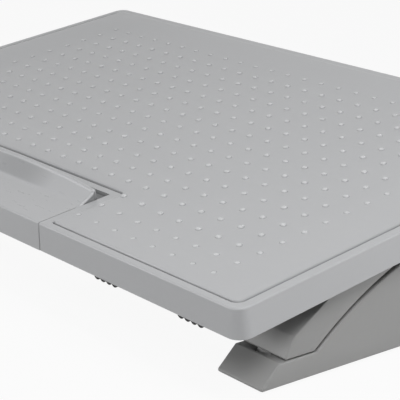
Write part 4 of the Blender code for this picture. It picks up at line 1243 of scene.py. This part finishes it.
class Base(Group):
    """The two legs and what is fixed to them."""

    families = (
        Family(sided("leg_{}"), Slot.LEG_PLASTIC, Body.BASE),
        Family(sided("leg_plate_{}"), Slot.BLACK_PLASTIC, Body.BASE),
        Family(sided("rubber_foot_{}_front", "rubber_foot_{}_rear"), Slot.DARK_RUBBER, Body.BASE),
        Family(("cross_tube_front", "cross_tube_rear",
                *sided("pivot_pin_{}", "brake_quadrant_{}", "plate_screw_{}_1", "plate_screw_{}_2",
                       "quadrant_screw_{}_1", "quadrant_screw_{}_2")), Slot.STEEL, Body.BASE),
    )


# Studio

@dataclass(frozen=True)
class Lamp:
    """A soft area lamp."""

    name: str
    place: Place
    size: float
    power: float
    aim: Place = (0.0, 0.0, 0.05)

    def build(self) -> None:
        """Adds the lamp."""
        data = bpy.data.lights.new(self.name, "AREA")
        data.shape = "DISK"
        data.size = self.size
        data.energy = self.power
        obj = bpy.data.objects.new(self.name, data)
        bpy.context.scene.collection.objects.link(obj)
        obj.location = self.place
        obj.rotation_euler = (Vector(self.aim) - Vector(self.place)).to_track_quat("-Z", "Y").to_euler()


@dataclass
class Studio:
    """Pale floor, soft light and the camera of the photograph."""

    sky: float = 0.12
    floor_half: float = 6.0
    floor_gap: float = 0.0002
    floor_deep: Colour = (0.56, 0.56, 0.56)
    floor_pale: Colour = (0.60, 0.60, 0.60)
    white_share: float = 0.93
    lens: float = 130.3
    sensor: float = 36.0
    clip: float = 0.01
    camera_place: Place = (0.8228, -0.69994, 0.3529)
    camera_aim: Place = (-0.7129, 0.6392, -0.2885)
    roll: float = math.atan2(0.0447, 0.9564)
    lamps: tuple[Lamp, ...] = (
        Lamp("camera_side", (1.0, -0.9, 1.0), 0.6, 7.6),
        Lamp("near_right", (0.6, -0.1, 0.9), 0.6, 3.0),
        Lamp("front_low", (-1.1, -1.5, 0.25), 0.8, 12.0),
        Lamp("low_right", (1.3, 1.2, 0.3), 0.6, 9.0),
        Lamp("spark", (0.35, -0.25, 0.9), 0.2, 1.2),
        Lamp("rear_left", (-0.67, 0.35, 1.45), 0.35, 1.2),
    )

    @staticmethod
    def plain_ray(graph: Graph) -> Value:
        """1 for the rays that see the background: from the camera, glossy or passed through."""
        rays = [graph.add("ShaderNodeLightPath", {}, {}, name)
                for name in ("Is Camera Ray", "Is Glossy Ray", "Is Transmission Ray")]
        return (rays[0] + rays[1] + rays[2]).at_most(1.0)

    def floor_surface(self, graph: Graph) -> Value:
        """The floor's shader: white to the camera, but it keeps the shadow.

        Args:
            graph: The material's graph.

        Returns:
            The shader.
        """
        dust_and_shade = graph.noise(graph.object_place(), 3.0)
        colour = graph.tint(dust_and_shade, self.floor_deep, self.floor_pale)
        paint = graph.add("ShaderNodeBsdfDiffuse", {}, {"Color": colour})
        glow = graph.add("ShaderNodeEmission", {}, {"Color": WHITE, "Strength": 1.0})
        share = self.plain_ray(graph) * self.white_share
        return graph.add("ShaderNodeMixShader", {}, {0: share, 1: paint, 2: glow})

    def add_floor(self) -> None:
        """Adds the floor."""
        bm = bmesh.new()
        bmesh.ops.create_grid(bm, x_segments=8, y_segments=8, size=self.floor_half,
                              matrix=Matrix.Translation((0.0, 0.0, -self.floor_gap)))
        mesh = finished(bm, "floor", outward=False)
        mesh.materials.append(new_material("floor_paint", self.floor_surface))
        floor = bpy.data.objects.new("floor", mesh)
        bpy.context.scene.collection.objects.link(floor)

    def add_world(self) -> None:
        """Adds the sky: white to the camera, softer as light."""
        world = bpy.data.worlds.new("sky")
        bpy.context.scene.world = world
        world.use_nodes = True
        world.node_tree.nodes.clear()
        graph = Graph(world.node_tree)
        strength = self.plain_ray(graph) * (1 - self.sky) + self.sky
        light = graph.add("ShaderNodeBackground", {}, {"Color": WHITE, "Strength": strength})
        end = graph.tree.nodes.new("ShaderNodeOutputWorld")
        graph.tree.links.new(light.socket, end.inputs["Surface"])

    def add_camera(self) -> None:
        """Adds the camera at the photograph's place."""
        ahead = Vector(self.camera_aim).normalized()
        level = ahead.cross(Vector((0, 0, 1))).normalized()
        above = level.cross(ahead)
        right = level * math.cos(self.roll) + above * math.sin(self.roll)
        up = right.cross(ahead)
        turn = Matrix((right, up, -ahead)).transposed().to_4x4()
        data = bpy.data.cameras.new("photo_camera")
        data.lens = self.lens
        data.sensor_width = self.sensor
        data.clip_start = self.clip
        camera = bpy.data.objects.new("photo_camera", data)
        bpy.context.scene.collection.objects.link(camera)
        camera.matrix_world = Matrix.Translation(self.camera_place) @ turn
        bpy.context.scene.camera = camera

    def build(self) -> None:
        """Adds floor, sky, lamps and camera, and sets the plain view transform."""
        self.add_floor()
        self.add_world()
        for lamp in self.lamps:
            lamp.build()
        self.add_camera()
        bpy.context.scene.view_settings.view_transform = "Standard"


def main() -> None:
    """Builds every part in order."""
    logging.basicConfig(level=logging.INFO, format="%(name)s: %(message)s")
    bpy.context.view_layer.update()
    for part in (Studio(), Deck(), Pedal(), Carried(), Base()):
        part.build()
        log.info("%s done", type(part).__name__)


if __name__ == "__main__":
    main()
